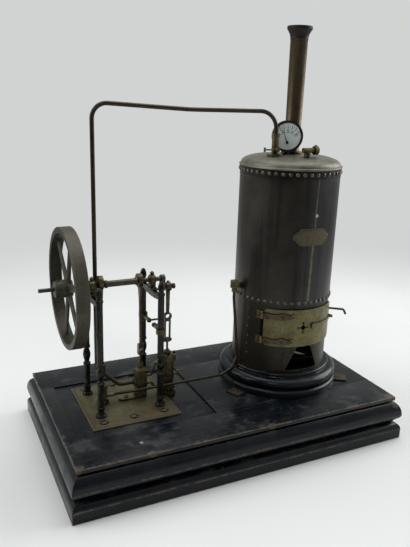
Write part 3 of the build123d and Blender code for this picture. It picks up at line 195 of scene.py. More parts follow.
def bow(middle, height, reach, rise, angles):
    """Points of a profile on a round, as (distance, height) pairs, at angles in degrees from level."""
    turns = [math.radians(angle) for angle in angles]
    return [(middle + reach * math.cos(turn), height + rise * math.sin(turn)) for turn in turns]


def settled(piece, name, scale=(1, 1, 1)):
    """Names a new piece and puts its place and size into its mesh."""
    piece.name = name
    piece.scale = scale
    bpy.ops.object.transform_apply(location=True, rotation=True, scale=True)
    return piece


def opened(kind):
    """Takes the active piece into edit mode with all its vertices, edges or faces selected."""
    bpy.ops.object.mode_set(mode="EDIT")
    bpy.ops.mesh.select_mode(type=kind)
    bpy.ops.mesh.select_all(action="SELECT")


def closed():
    """Turns every face outwards and leaves edit mode."""
    bpy.ops.mesh.select_all(action="SELECT")
    bpy.ops.mesh.normals_make_consistent(inside=False)
    bpy.ops.object.mode_set(mode="OBJECT")


def moulded_slab(name, length, depth, profile):
    """Runs a moulding round a slab: a rectangle is raised and drawn in step by step, by (inset, height)."""
    inset, low = profile[0]
    bpy.ops.mesh.primitive_plane_add(size=1.0, location=(0, 0, low * mm))
    piece = settled(bpy.context.object, name, ((length - 2 * inset) * mm, (depth - 2 * inset) * mm, 1.0))
    opened("FACE")
    for (old_inset, old_z), (new_inset, new_z) in zip(profile, profile[1:]):
        bpy.ops.mesh.extrude_region_move(TRANSFORM_OT_translate={"value": (0, 0, (new_z - old_z) * mm)})
        share_x = (length - 2 * new_inset) / (length - 2 * old_inset)
        share_y = (depth - 2 * new_inset) / (depth - 2 * old_inset)
        bpy.ops.transform.resize(value=(share_x, share_y, 1.0))
    closed()
    return piece


def close_up(piece, finish, slot, *stands_for, body="frame", smooth=35):
    """Tidies a piece's mesh, gives it its finish and hangs it on a body."""
    bpy.ops.object.select_all(action="DESELECT")
    piece.select_set(True)
    bpy.context.view_layer.objects.active = piece
    bpy.ops.object.transform_apply(location=True, rotation=True, scale=True)
    bpy.ops.object.shade_smooth_by_angle(angle=math.radians(smooth))
    piece.data.materials.clear()
    piece.data.materials.append(finish)
    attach(piece, body)
    if stands_for:
        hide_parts(*stands_for)


cove = bow(cove_reach, cove_foot, -cove_reach, cove_rise, range(0, 91, 10))
base = moulded_slab("plinth_base_wood", base_length, base_depth, [(base_arris, 0.0), (0.0, base_arris)] + cove)
base_edges = [(0.5, half_length, half_depth), (cove_foot, half_length, half_depth)]
base_paint = black_paint("black_paint_base", base_edges, (half_length, half_depth), 0.4, 0.22)
close_up(base, base_paint, "black_wood", "plinth_base")
nose = bow(nose_inset, nose_height, -nose_reach, nose_drop, range(-30, 0, 6))
nose += bow(nose_inset, nose_height, -nose_reach, nose_rise, range(0, 91, 8))
nose += [(nose_inset, 48.9), (nose_inset, moulding_top)]
moulding = moulded_slab("plinth_moulding_wood", base_length, base_depth, [(cove_reach, moulding_foot)] + nose)
nose_tip = (half_length - nose_inset + nose_reach, half_depth - nose_inset + nose_reach)
nose_edges = [(moulding_top, half_length - nose_inset, half_depth - nose_inset), (nose_height, *nose_tip)]
nose_paint = black_paint("black_paint_moulding", nose_edges, nose_tip, 0.3, 0.15, 0.3, nose_chips)
close_up(moulding, nose_paint, "black_wood", "plinth_moulding")

# The top is planed boards, glued edge to edge and painted: two rails, a stile, a
# board under the boiler, and between them a panel that lies a little lower for
# the engine. Their arrises are rounded by wear, and the paint is chipped.
top_half_length, top_half_depth, top_height = 200, 116, 54.7
board_foot, panel_height = 50, 53.2
rail_line, rail_seam = 66.0, 0.15
stile_end, panel_start = -183.1, -182.9
panel_end, board_start = -24.15, -23.85
board_soft, panel_soft = 0.7, 0.3
no_corner = (900.0, 900.0)
top_chips = [((0.022, -0.1155, 0.0547), 0.005), ((0.193, -0.111, 0.0547), 0.008), ((-0.1215, -0.1155, 0.0547), 0.0055),
             ((-0.197, -0.113, 0.0547), 0.006), ((-0.2, -0.05, 0.0547), 0.004)]
top_edges = [(top_height, top_half_length, top_half_depth)]
top_paint = black_paint("black_paint_top", top_edges, no_corner, 0.75, 0.17, 0.7, top_chips)


def rounded(soft, segments):
    """Rounds every edge of the active piece."""
    opened("EDGE")
    bpy.ops.mesh.bevel(offset=soft * mm, segments=segments, affect="EDGES")
    bpy.ops.object.mode_set(mode="OBJECT")


def block(name, low, high, soft, segments=2):
    """A squared piece between two corners in millimetres, its edges rounded."""
    bpy.ops.mesh.primitive_cube_add(size=1.0, location=[(a + b) / 2 * mm for a, b in zip(low, high)])
    piece = settled(bpy.context.object, name, [(b - a) * mm for a, b in zip(low, high)])
    rounded(soft, segments)
    return piece


rail_side, inner_side = rail_line + rail_seam, rail_line - rail_seam
whole, between = (-top_half_length, top_half_length), (-inner_side, inner_side)
for name, x_ends, y_ends, height, soft, *stands_for in (
        ("rail_front", whole, (-top_half_depth, -rail_side), top_height, board_soft, "plinth_rails"),
        ("rail_back", whole, (rail_side, top_half_depth), top_height, board_soft),
        ("stile_left", (-top_half_length, stile_end), between, top_height, board_soft, "plinth_stile"),
        ("engine_panel", (panel_start, panel_end), between, panel_height, panel_soft, "plinth_engine_panel"),
        ("boiler_board", (board_start, top_half_length), between, top_height, board_soft, "plinth_boiler_board")):
    low, high = zip(x_ends, y_ends, (board_foot, height))
    close_up(block(name, low, high, soft, 3), top_paint, "black_wood", *stands_for)

# The front rail is nailed down by one round steel nail. Its head has been
# knocked bare and bright in the black paint, and its edge is rounded over.
nail_radius, nail_thickness, nail_soft = 2.0, 1.0, 0.4
nail_place = (-125.5, -92.6, 54.9)
nail_steel = Finish("nail_steel")
nail_grey = nail_steel.blend(nail_steel.noise(0.0015, 3.0, 0.6), (0.35, 0.35, 0.33), (0.16, 0.15, 0.13))
nail_steel.done(nail_grey, 0.45, 0.4)
bpy.ops.mesh.primitive_cylinder_add(vertices=20, radius=nail_radius * mm, depth=nail_thickness * mm,
                                    location=Vector(nail_place) * mm)
nail = settled(bpy.context.object, "nail_head")
rounded(nail_soft, 2)
close_up(nail, nail_steel.material, "steel")

# The engine stands on a sheet of rolled brass that has gone brown and spotted.
# It is held to the sunk panel by slotted steel screws with domed heads, and
# there is a dark ring about each screw and one orange stain.
plate_low, plate_high = (-165, -51.3, panel_height), (-62, 53.7, 55.2)
plate_top = plate_high[2]
plate_soft = 0.35
orange_stain = (-92.1, -35.1)
plate_screw_radius, plate_screw_rise = 3.9, 2.1
plate_screws = [(-150.2, -39.4, 20), (-114.6, -38.8, -15), (-78.7, -38.7, 60), (-150.2, 45.5, 80), (-114.6, 46, 10),
                (-78.7, 45.5, -30)]


def stained_sheet(name, bright, dull, dark):
    """Sheet brass, darker at its rim and in a ring about each screw, with one orange stain."""
    f = Finish(name)
    cloud = f.noise(0.028, 6.0, 0.62, shift=(0.11, 0.3, 0.7))
    fine = f.noise(0.0026, 5.0, 0.68, shift=(0.5, 0.1, 0.2))
    ways = zip(f.place.axes()[:2], plate_low, plate_high)
    from_x, from_y = [(high - low) / 2 * mm - (way - (low + high) / 2 * mm).size() for way, low, high in ways]
    rim = from_x.smaller(from_y)
    colour = f.blend(cloud.ease(0.3, 0.7), dull, bright)
    shade = (cloud * 0.45 + fine * 0.55).ease(0.53, 0.66) * 0.7
    shade = shade.larger(rim.ease(0.006, 0.0015) * cloud.ease(0.25, 0.6) * 0.6)
    for screw_x, screw_y, _ in plate_screws:
        shade = shade.larger(f.near((screw_x * mm, screw_y * mm, plate_top * mm), 0.0062, 0.35) * 0.85)
    colour = f.blend(shade, colour, dark)
    orange = f.near((orange_stain[0] * mm, orange_stain[1] * mm, plate_top * mm), 0.006, 0.7)
    colour = f.blend(orange * 0.6, colour, (0.16, 0.05, 0.018))
    colour = f.blend(rim.ease(0.0012, 0.0006) * 0.6, colour, (0.17, 0.14, 0.085))
    rough = fine.ease(0.3, 0.75, 0.42, 0.62) + shade * 0.1
    return f.done(colour, rough, 0.55, fine * 0.7 + cloud * 0.3, 0.00012)


def old_metal(name, bright, dull, dark, rough=0.42, metal=0.75, blotch=0.02, spots=0.5, streak=None, crevice_shade_reach=0.006,
              relief=0.00012):
    """Aged bare metal: a bright, a dull and a dark tone that mix in blotches and fine spots, with painted shade in its
    crevices.
    """
    f = Finish(name)
    cloud = f.noise(blotch, 6.0, 0.62, shift=(0.11, 0.3, 0.7))
    fine = f.noise(blotch * 0.12, 5.0, 0.65, shift=(0.5, 0.1, 0.2))
    colour = f.blend(cloud.ease(0.3, 0.68), dull, bright)
    stain_and_shade = (cloud * 0.4 + fine * 0.6).ease(0.5 + 0.1 * (1 - spots), 0.66) * spots
    if streak is not None:
        lines = f.noise(streak, 4.0, 0.6, stretch=(1, 1, 0.06))
        stain_and_shade = stain_and_shade.larger(lines.ease(0.5, 0.72) * spots)
    # Painted shade: corners and crevices are darkened towards the dark tone, on top of the real stains.
    if crevice_shade_reach > 0:
        stain_and_shade = stain_and_shade.larger(f.crevice_shade(crevice_shade_reach) * 0.95)
    colour = f.blend(stain_and_shade, colour, dark)
    roughness = fine.ease(0.3, 0.75, rough - 0.08, rough + 0.14) + stain_and_shade * 0.12
    return f.done(colour, roughness, metal, fine * 0.7 + cloud * 0.3, relief)


def lone_point(name, place):
    """Starts a piece as one vertex in edit mode, ready to be extruded."""
    bpy.ops.mesh.primitive_plane_add(size=mm, location=place)
    piece = settled(bpy.context.object, name)
    opened("VERT")
    bpy.ops.mesh.merge(type="CENTER")
    return piece


def spun(name, outline, steps, foot=(0, 0, 0), axis="Z"):
    """Turns an outline of (radius, place along the axis) pairs, in millimetres, about an axis."""
    along = {"X": Vector((1, 0, 0)), "Y": Vector((0, 1, 0)), "Z": Vector((0, 0, 1))}[axis]
    out = Vector((1, 0, 0)) if axis == "Z" else Vector((0, 0, 1))
    centre = Vector(foot) * mm
    places = [centre + (out * radius + along * height) * mm for radius, height in outline]
    piece = lone_point(name, places[0])
    for last, place in zip(places, places[1:]):
        bpy.ops.mesh.extrude_region_move(TRANSFORM_OT_translate={"value": place - last})
    bpy.ops.mesh.select_all(action="SELECT")
    bpy.ops.mesh.spin(steps=steps, angle=math.tau, center=centre, axis=along)
    bpy.ops.mesh.select_all(action="SELECT")
    bpy.ops.mesh.remove_doubles(threshold=0.01 * mm)
    closed()
    return piece


def twin(piece, place, name):
    """A copy of a piece, with a mesh of its own that is moved to its place."""
    other = piece.copy()
    other.data = piece.data.copy()
    other.data.transform(place)
    other.name = name
    bpy.context.scene.collection.objects.link(other)
    return other


def joined(name, *pieces):
    bpy.ops.object.select_all(action="DESELECT")
    for piece in pieces:
        piece.select_set(True)
    bpy.context.view_layer.objects.active = pieces[0]
    if len(pieces) > 1:
        bpy.ops.object.join()
    pieces[0].name = name
    return pieces[0]


def copies(piece, places, name):
    """Lays a copy of a small piece at each place and joins them all into one."""
    made = [twin(piece, place, name) for place in places]
    bpy.data.objects.remove(piece)
    return joined(name, *made)


def slotted_screw(radius, rise):
    """A round-head screw at the origin: a turned dome with a sawn slot."""
    head = bow(0, rise * 0.35, radius, rise * 0.65, range(0, 90, 18))
    screw = spun("screw", [(radius, -0.3)] + head + [(0.0, rise)], 20)
    bpy.ops.mesh.primitive_cube_add(size=1.0, location=(0, 0, rise * 1.05 * mm))
    saw = settled(bpy.context.object, "saw", (radius * 2.4 * mm, radius * 0.28 * mm, rise * 0.9 * mm))
    bpy.context.view_layer.objects.active = screw
    cut = screw.modifiers.new("slot", "BOOLEAN")
    cut.operation = "DIFFERENCE"
    cut.solver = "EXACT"
    cut.object = saw
    bpy.ops.object.modifier_apply(modifier="slot")
    bpy.data.objects.remove(saw)
    return screw


def upright(x, y, z, turn=0.0):
    return Matrix.Translation(Vector((x, y, z)) * mm) @ Matrix.Rotation(math.radians(turn), 4, "Z")


plate_brass = stained_sheet("plate_brass", (0.118, 0.102, 0.050), (0.060, 0.051, 0.025), (0.013, 0.010, 0.005))
plate = block("bed_plate_brass", plate_low, plate_high, plate_soft)
close_up(plate, plate_brass, "aged_brass", "bed_plate")
screw_steel = old_metal("screw_steel", (0.11, 0.09, 0.065), (0.045, 0.034, 0.024), (0.014, 0.010, 0.008),
                        0.38, 0.8, 0.006, 0.6)
screw_places = [upright(x, y, plate_top, turn) for x, y, turn in plate_screws]
screws = copies(slotted_screw(plate_screw_radius, plate_screw_rise), screw_places, "plate_screws")
close_up(screws, screw_steel, "steel")

# Four turned iron columns carry the shaft. Each has a round foot, rings, a
# vase-shaped swell and a bell-shaped head, blackened and rubbed bare on the
# rings. Two arched beams of the same iron tie their heads together.
column_x = {"left": -149.0, "right": -78.2}
column_y = {"front": -24.6, "back": 34.2}
shank, ring_side, ring_crown, neck = 3.7, 4.25, 4.44, 2.96


def blackened_iron(name, body_tone, worn, rough=0.4, wear=0.5, metal=0.55, shine=0.5):
    """Blackened iron, rubbed bare in spots, with a little rust and painted shade in its corners."""
    f = Finish(name)
    cloud = f.noise(0.012, 6.0, 0.65)
    fine = f.noise(0.0016, 4.0, 0.7, shift=(0.2, 0.4, 0.1))
    rust = f.noise(0.02, 5.0, 0.6, shift=(0.7, 0.1, 0.3)).ease(0.56, 0.7)
    colour = f.blend((cloud * 0.6 + fine * 0.4).ease(0.56 - 0.12 * wear, 0.62) * 0.8, body_tone, worn)
    colour = f.blend(rust * 0.4, colour, (0.05, 0.026, 0.015))
    # Painted shade: corners and crevices are darkened nearly to black.
    colour = f.blend(f.crevice_shade(0.004) * 0.8, colour, (0.004, 0.004, 0.003))
    roughness = cloud.ease(0.3, 0.7, rough - 0.08, rough + 0.15) + rust * 0.15
    return f.done(colour, roughness, metal, fine * 0.6 + cloud * 0.4, 0.00015, shine=shine)


def give_finish(finish, *names):
    """Gives CAD pieces whose shape is right their finish."""
    for name in names:
        nodes[name].data.materials[0] = finish


column_iron = blackened_iron("column_iron", (0.0065, 0.0075, 0.005), (0.062, 0.060, 0.038), 0.28, 0.35, 0.3, 0.4)
swell = [(neck + 1.54 * math.sin(math.pi * k / 8), 44.8 + 14.4 * k / 8) for k in range(9)]
bell = bow(0, 142.7, 4.0, 9.0, range(0, 81, 10))
column_outline = [
    (0, 0), (6.2, 0), (6.2, 1.5), (5.8, 2.2), (4.7, 2.4), (4.1, 3.4), (shank, 5.2), (shank, 9.0), (ring_side, 9.4),
    (ring_crown, 10.6), (ring_side, 11.8), (shank, 12.2), (shank, 38.6), (ring_side, 38.9), (ring_crown, 40.2),
    (ring_side, 41.5), (3.2, 42.2), (neck, 43.4), *swell, (neck, 60.2), (4.2, 60.9), (ring_crown, 62.2), (4.2, 63.5),
    (shank, 64.1), (shank, 135.2), (ring_side, 135.5), (ring_crown, 136.6), (ring_side, 137.7), (3.2, 138.6),
    (neck, 140.2), (3.6, 141.6), *bell, (0, 151.8)]
pattern = spun("column", column_outline, 28, (0, 0, plate_top))
for side, x in column_x.items():
    for end, y in column_y.items():
        column = twin(pattern, upright(x, y, 0), f"column_{end}_{side}_iron")
        close_up(column, column_iron, "black_iron", f"column_{end}_{side}")
bpy.data.objects.remove(pattern)
give_finish(column_iron, "cross_beam_left", "cross_beam_right")

# Pillow bearings cast in brass sit on the cross beams, each with a round
# housing, two nuts and a pointed oil cup on its cap. They are brown with old
# oil, as are the eccentrics, their rods and the guide between the columns.
shaft_y, shaft_height = 4.8, 201.0
bearing_foot_top = 192.6
bearing_nut_places = (-3.1, 12.7)
guide_ball_radius, guide_ball_height = 2.9, 148.0
guide_ball_places = (-3.4, 13.0)
oily_brass = old_metal("oily_brass", (0.13, 0.112, 0.058), (0.05, 0.043, 0.023), (0.008, 0.007, 0.004),
                       0.36, 0.8, 0.005, 0.95)
give_finish(oily_brass, "guide_bracket", "eccentrics", "valve_eccentric_rod", "pump_eccentric_rod")


def hex_nut(radius, height, bolt):
    """A hexagon nut with chamfered corners, on the end of its bolt, standing at the origin."""
    bpy.ops.mesh.primitive_cylinder_add(vertices=6, radius=radius * mm, depth=height * mm,
                                        location=(0, 0, height / 2 * mm))
    nut = settled(bpy.context.object, "nut")
    rounded(0.12 * radius, 1)
    bolt_end = [(bolt, 0), (bolt, height * 1.25), (bolt * 0.7, height * 1.45), (0, height * 1.5)]
    return joined("nut", nut, spun("bolt_end", bolt_end, 10))


foot = block("foot", (-4, -5.2, 190.0), (4, 14.8, bearing_foot_top), 0.6)
cheek = block("cheek", (-3.2, -0.6, 190.4), (3.2, 10.2, 200.5), 1.2)
housing = spun("housing", [(2.66, -4.0), (4.3, -4.0), (4.7, -3.6), (4.7, -3.0), (6.0, -2.6), (6.0, 2.6), (4.7, 3.0),
                           (4.7, 3.6), (4.3, 4.0), (2.66, 4.0)], 32, (0, shaft_y, shaft_height), "X")
cup = spun("oil_cup", [(1.5, 205.6), (1.5, 207.2), (2.3, 207.8), (2.5, 208.8), (2.1, 209.9), (1.1, 210.5),
                       (0.55, 211.2), (0.0, 211.5)], 16, (0, shaft_y, 0))
nuts = copies(hex_nut(1.7, 1.5, 0.8), [upright(0, y, bearing_foot_top) for y in bearing_nut_places], "bearing_nuts")
pattern = joined("bearing", foot, cheek, housing, cup, nuts)
for side, x in column_x.items():
    bearing = twin(pattern, upright(x, 0, 0), f"bearing_{side}_brass")
    close_up(bearing, oily_brass, "aged_brass", f"bearing_{side}")
bpy.data.objects.remove(pattern)
ball_side = bow(0, 0, guide_ball_radius, guide_ball_radius, range(-75, 90, 15))
ball = spun("ball", [(0.0, -guide_ball_radius)] + ball_side + [(0.0, guide_ball_radius)], 20)
ball_places = [upright(column_x["right"], y, guide_ball_height) for y in guide_ball_places]
close_up(copies(ball, ball_places, "guide_balls"), oily_brass, "aged_brass", smooth=80)

# The shaft is turned steel, rusty on its free end, with its crank, rod,
# crosshead, spindle and ram of the same steel. A sleeve with a collar at each
# end is pushed over it between the bearings.
sleeve_left, sleeve_length, sleeve_radius, shaft_radius = -134.4, 38.0, 3.6, 2.6
shaft_steel = old_metal("shaft_steel", (0.11, 0.097, 0.07), (0.05, 0.042, 0.03), (0.028, 0.014, 0.009),
                        0.34, 0.8, 0.012, 0.7)
give_finish(shaft_steel, "crankshaft", "connecting_rod", "crosshead", "valve_spindle", "pump_ram", "latch_catch")
sleeve_outline = [
    (shaft_radius, 0.0), (4.2, 0.0), (4.5, 0.5), (4.5, 2.6), (4.2, 3.1), (sleeve_radius, 3.3), (sleeve_radius, 35.4),
    (4.1, 35.6), (4.4, 36.0), (4.4, 37.6), (4.1, sleeve_length), (shaft_radius, sleeve_length)]
sleeve = spun("shaft_sleeve_steel", sleeve_outline, 32, (sleeve_left, shaft_y, shaft_height), "X")
close_up(sleeve, shaft_steel, "steel", body="crank_body")

# The flywheel is cast iron in one piece, with a plain rim, six tapered oval
# spokes and a long hub that a grub screw holds on the shaft. Its tread is rubbed
# smooth and pale, and its faces stay dark.
wheel_left = (-181.8, shaft_y, shaft_height)
wheel_middle_x, grub_x = -174.8, -186.0
wheel_radius, rim_width = 66.8, 13.9
hub_radius, spoke_share, spoke_count = 9.9, 0.52, 6


def wheel_iron(name):
    """Bare cast iron with some rust, paler on the tread and on the hub."""
    f = Finish(name)
    y, z = f.place.axes()[1:]
    cloud = f.noise(0.03, 6.0, 0.6)
    fine = f.noise(0.002, 4.0, 0.7, shift=(0.2, 0.4, 0.1))
    aside, above = y - shaft_y * mm, z - shaft_height * mm
    radius = f.node("ShaderNodeMath", {"operation": "SQRT"}, aside * aside + above * above)
    tread = radius.ease(0.0656, 0.0664)
    face = f.blend((cloud * 0.5 + fine * 0.5).ease(0.42, 0.62), (0.020, 0.019, 0.012), (0.054, 0.049, 0.032))
    rubbed = f.blend((cloud * 0.6 + fine * 0.4).ease(0.4, 0.62), (0.046, 0.042, 0.029), (0.086, 0.078, 0.055))
    hub_share = radius.ease(0.0112, 0.0094)
    rust = f.noise(0.018, 5.0, 0.6, shift=(0.7, 0.1, 0.3)).ease(0.6, 0.72)
    colour = f.blend(tread.larger(hub_share * 0.6), face, rubbed)
    colour = f.blend(rust * 0.45, colour, (0.055, 0.028, 0.014))
    rough = cloud.ease(0.3, 0.7, 0.42, 0.6) + rust * 0.1
    return f.done(colour, rough, 0.45, fine * 0.6 + cloud * 0.4, 0.00015)


rim = spun("rim", [(60.6, 0.6), (61.2, 0.0), (66.2, 0.0), (wheel_radius, 0.6), (wheel_radius, 13.3), (66.2, rim_width),
                   (61.2, rim_width), (60.3, 13.3), (59.9, 7.0), (60.6, 0.6)], 128, wheel_left, "X")
hub = spun("hub", [(shaft_radius, -8.4), (8.0, -8.4), (8.9, -7.6), (9.0, -1.5), (hub_radius, 0.4), (hub_radius, 9.6),
                   (8.8, 11.0), (shaft_radius, 11.0)], 48, wheel_left, "X")
spoke = spun("spoke", [(0.0, 8.0), (6.2, 8.0), (5.0, 10.5), (4.5, 14.0), (3.1, 56.0), (3.4, 58.5), (4.6, 60.8),
                       (0.0, 60.8)], 20)
settled(spoke, "spoke", (spoke_share, 1.0, 1.0))
middle = upright(wheel_middle_x, shaft_y, shaft_height)
spoke_angles = [math.radians(360 / spoke_count * (k + 0.25)) for k in range(spoke_count)]
spokes = copies(spoke, [middle @ Matrix.Rotation(angle, 4, "X") for angle in spoke_angles], "spokes")
grub = spun("grub", [(0.0, 8.8), (1.5, 8.8), (1.5, 10.0), (0.8, 10.2), (0.0, 9.6)],
            12, (grub_x, shaft_y, shaft_height))
wheel = joined("flywheel_iron", rim, hub, spokes, grub)
close_up(wheel, wheel_iron("wheel_iron"), "black_iron", "flywheel", body="crank_body")

# The cylinder, valve chest and pump are cast and turned brass, left bare and
# now dark brown with oil. The pump's flange is held by small hexagon nuts, the
# chest's cap by four slotted screws, and its foot by one on the bed plate.
chest_foot_screw = (-110.2, 4.8, 57.6, 35)
pump_middle, pump_ring_radius, pump_flange_top = (-138.6, 4.8), 6.0, 57.4
pump_nut_angles = (-80, -15, 60, 130, 200)
chest_cap_middle, chest_cap_top, chest_cap_half = (-91.9, 4.8), 90.2, (4.4, 3.8)
engine_brass = old_metal("engine_brass", (0.22, 0.185, 0.088), (0.08, 0.068, 0.034), (0.008, 0.007, 0.004),
                         0.36, 0.75, 0.006, 0.95)
give_finish(engine_brass, "steam_cylinder", "cylinder_cover", "drain_cock", "valve_chest", "steam_passages",
            "feed_pump")
foot_screw = copies(slotted_screw(2.8, 1.6), [upright(*chest_foot_screw)], "chest_foot_screw")
close_up(foot_screw, screw_steel, "steel")
nut_ring = bow(*pump_middle, pump_ring_radius, pump_ring_radius, pump_nut_angles)
nut_places = [upright(x, y, pump_flange_top) for x, y in nut_ring]
close_up(copies(hex_nut(1.35, 1.5, 0.7), nut_places, "pump_nuts"), engine_brass, "aged_brass")
cap_places = [upright(chest_cap_middle[0] + x, chest_cap_middle[1] + y, chest_cap_top)
              for x in (-chest_cap_half[0], chest_cap_half[0]) for y in (-chest_cap_half[1], chest_cap_half[1])]
close_up(copies(slotted_screw(1.1, 0.8), cap_places, "chest_cap_screws"), engine_brass, "aged_brass")

# The steam pipe and the feed pipe are drawn copper tube, bent by hand, brown
# and dark with age. The feed pipe ends in a brass check valve on the boiler.
dark_copper = old_metal("dark_copper", (0.062, 0.050, 0.034), (0.036, 0.027, 0.018), (0.016, 0.012, 0.009),
                        0.34, 0.75, 0.06, 0.3, crevice_shade_reach=0, relief=0.00001)
give_finish(dark_copper, "steam_pipe", "feed_pipe")
give_finish(engine_brass, "check_valve")

# A ring turned from wood, with a plain band, a half-round and a lip, holds the
# foot of the boiler. It is glued on the boiler's board and painted black.
boiler_foot = (98, 1.2, 0)
ring_seat = 78.0
ring_paint = black_paint("black_paint_ring", [], no_corner, 0.3, 0.2, 0.2)
ring_band = [(76.8, top_height), (76.8, 61.6), (76.2, 62.6), (75.2, 63.2), (74.4, 63.8), (74.4, 64.8)]
ring_half_round = bow(66.0, 70.6, 9.6, 7.4, range(-50, 91, 10))
ring_lip = [(65.6, 78.6), (66.0, 79.4), (66.2, 80.6), (65.8, 81.8), (65.0, 82.5), (59.7, 82.5), (59.7, ring_seat),
            (0, ring_seat)]
ring = spun("boiler_ring_wood", [(0, top_height)] + ring_band + ring_half_round + ring_lip, 128, boiler_foot)
close_up(ring, ring_paint, "black_wood", "boiler_ring")

# The boiler's shell and the firebox under it are rolled sheet brass, bronzed
# dark brown, with a lap at the top. Soot and drips have run down the shell, and
# inside the firebox everything is black.
shell_radius, shell_seam, shell_top = 60.5, 169.2, 329.5
lap_radius, lap_foot, shell_bore = 60.8, 318.0, 58.9
shell_steps = 160


def bronzed(name):
    """Bronzed sheet with warm bands, cool bands of painted reflection, dark runs, a pale drip line, a pale spot, soot
    inside and a painted shadow in the door's gap.
    """
    f = Finish(name)
    x, y, z = f.place.axes()
    cloud = f.noise(0.05, 6.0, 0.6)
    runs = f.noise(0.014, 5.0, 0.6, stretch=(1, 1, 0.05), shift=(0.4, 0, 0))
    bands = f.noise(0.05, 2.0, 0.5, stretch=(1, 1, 0.12), shift=(0.1, 0.6, 0))
    fine = f.noise(0.003, 5.0, 0.65)
    colour = f.blend(cloud.ease(0.3, 0.7), (0.036, 0.031, 0.027), (0.060, 0.053, 0.044))
    # The cool bluish bands are painted reflection, standing in for the soft upright highlights on the shell. The warm
    # purplish bands are the bronzing's own tint.
    colour = f.blend(bands.ease(0.5, 0.66) * 0.55, colour, (0.048, 0.052, 0.060))
    colour = f.blend(bands.ease(0.48, 0.36) * 0.4, colour, (0.050, 0.034, 0.032))
    colour = f.blend(z.ease(0.17, 0.166) * 0.75, colour, (0.030, 0.027, 0.017))
    colour = f.blend(z.ease(0.316, 0.320) * fine.ease(0.25, 0.6) * 0.6, colour, (0.016, 0.014, 0.010))
    colour = f.blend(runs.ease(0.48, 0.7) * 0.7, colour, (0.014, 0.012, 0.011))
    colour = f.blend(fine.ease(0.62, 0.75) * 0.3, colour, (0.085, 0.075, 0.055))
    foot = z.ease(0.15, 0.085)
    colour = f.blend(foot * (fine * 0.6 + cloud * 0.4).ease(0.42, 0.6) * 0.5, colour, (0.07, 0.056, 0.036))
    wave = f.noise(0.02, 3.0, 0.6, stretch=(0, 0, 1)) * 0.003
    line = (x - 0.0912 - z * 0.0182 - wave).size()
    ragged = f.noise(0.008, 4.0, 0.7, stretch=(0, 0, 1)).ease(0.3, 0.6, 0.4, 1.25)
    width = z.ease(0.32, 0.2, 0.0005, 0.0013) * ragged
    front = y.ease(-0.03, -0.04) * z.ease(0.1725, 0.176)
    drip = (width - line).ease(-0.0004, 0.0004) * front * z.ease(0.322, 0.316)
    halo = (width * 4.0 - line).ease(-0.002, 0.004) * front * z.ease(0.322, 0.3)
    colour = f.blend(halo * 0.3 * fine.ease(0.3, 0.6), colour, (0.09, 0.08, 0.05))
    colour = f.blend(drip * 0.75, colour, (0.21, 0.19, 0.125))
    colour = f.blend(f.near((0.0991, -0.0593, 0.2776), 0.0022, 0.5), colour, (0.6, 0.58, 0.5))
    # Painted shadow: a dark strip down the firebox at the door's left edge stands for the gap beside the door.
    door_gap_shadow = (x - 0.0503).size().ease(0.0024, 0.0014) * y.ease(-0.02, -0.025)
    door_gap_shadow = door_gap_shadow * z.ease(0.1255, 0.1275) * z.ease(0.1545, 0.1525)
    aside, behind = x - boiler_foot[0] * mm, y - boiler_foot[1] * mm
    inner = (aside * aside + behind * behind).ease(0.0588 * 0.0588, 0.0582 * 0.0582)
    soot_and_gap_shadow = inner.larger(door_gap_shadow)
    colour = f.blend(soot_and_gap_shadow, colour, (0.003, 0.003, 0.003))
    rough = cloud.ease(0.3, 0.7, 0.24, 0.36) + runs * 0.1 + drip * 0.25 + soot_and_gap_shadow * 0.4 + foot * 0.12
    return f.done(colour, rough, 0.8, fine * 0.5 + runs * 0.5 + drip * 0.6, 0.00010)


shell_bronze = bronzed("shell_bronze")
shell_outline = [(60.1, 168.95), (shell_radius, shell_seam), (shell_radius, 317.6), (lap_radius, lap_foot),
                 (lap_radius, 329.3), (shell_bore, shell_top)]
shell = spun("boiler_shell_sheet", shell_outline, shell_steps, boiler_foot)
close_up(shell, shell_bronze, "bronzed_shell", "boiler_shell")
give_finish(shell_bronze, "firebox_shell")
soot = blackened_iron("soot", (0.003, 0.003, 0.003), (0.010, 0.009, 0.008), 0.85, 0.3, 0.0, 0.05)
give_finish(soot, "boiler_bottom")

# The head is a spun brass dome with a square shoulder, let into the shell and
# rolled over its edge in a narrow lip. Its brass is painted paler than the shell's,
# a painted highlight for the light that falls on its upturned top.
shoulder_radius, dome_foot, dome_rise, lip_top = 60.2, 329.9, 13.1, 331.0
dome_metal_painted_light = old_metal("dome_metal_painted_light", (0.19, 0.18, 0.14), (0.115, 0.108, 0.083), (0.05, 0.043, 0.033),
                       0.44, 0.55, 0.03, 0.4)
dome_turns = [math.radians(3 * k) for k in range(28)]
dome_arch = [(shoulder_radius * math.cos(a) ** 0.72, dome_foot + dome_rise * math.sin(a) ** 0.8) for a in dome_turns]
dome_lip = [(shell_bore, 322.0), (60.4, 328.4), (61.8, 328.6), (62.1, 329.4), (61.8, 330.3), (60.6, 330.8)]
dome_outline = dome_lip + [point for point in dome_arch if point[1] > lip_top] + [(8.0, dome_foot + dome_rise)]
dome = spun("boiler_dome_sheet", dome_outline, shell_steps, boiler_foot)
close_up(dome, dome_metal_painted_light, "bronzed_shell", "boiler_dome")

# Round-headed brass rivets close the shell in two rows, one under the dome's
# lip and one at the seam over the firebox. Six small ones hold the firebox's
# upright lap at the side.
rivet_radius, rivet_rise, rivet_count = 2.5, 1.7, 47
top_row_height, seam_row_height = 324.2, 172.0
lap_angle, lap_rivet_radius, lap_rivet_foot, lap_rivet_step, lap_rivet_scale = -163, 59.6, 100, 11.5, 0.45


def around(angle, radius, height):
    """Places a piece that points up on the boiler's side, pointing out."""
    outwards = Matrix.Translation((radius * mm, 0, 0)) @ Matrix.Rotation(math.radians(90), 4, "Y")
    return upright(*boiler_foot[:2], height, angle) @ outwards


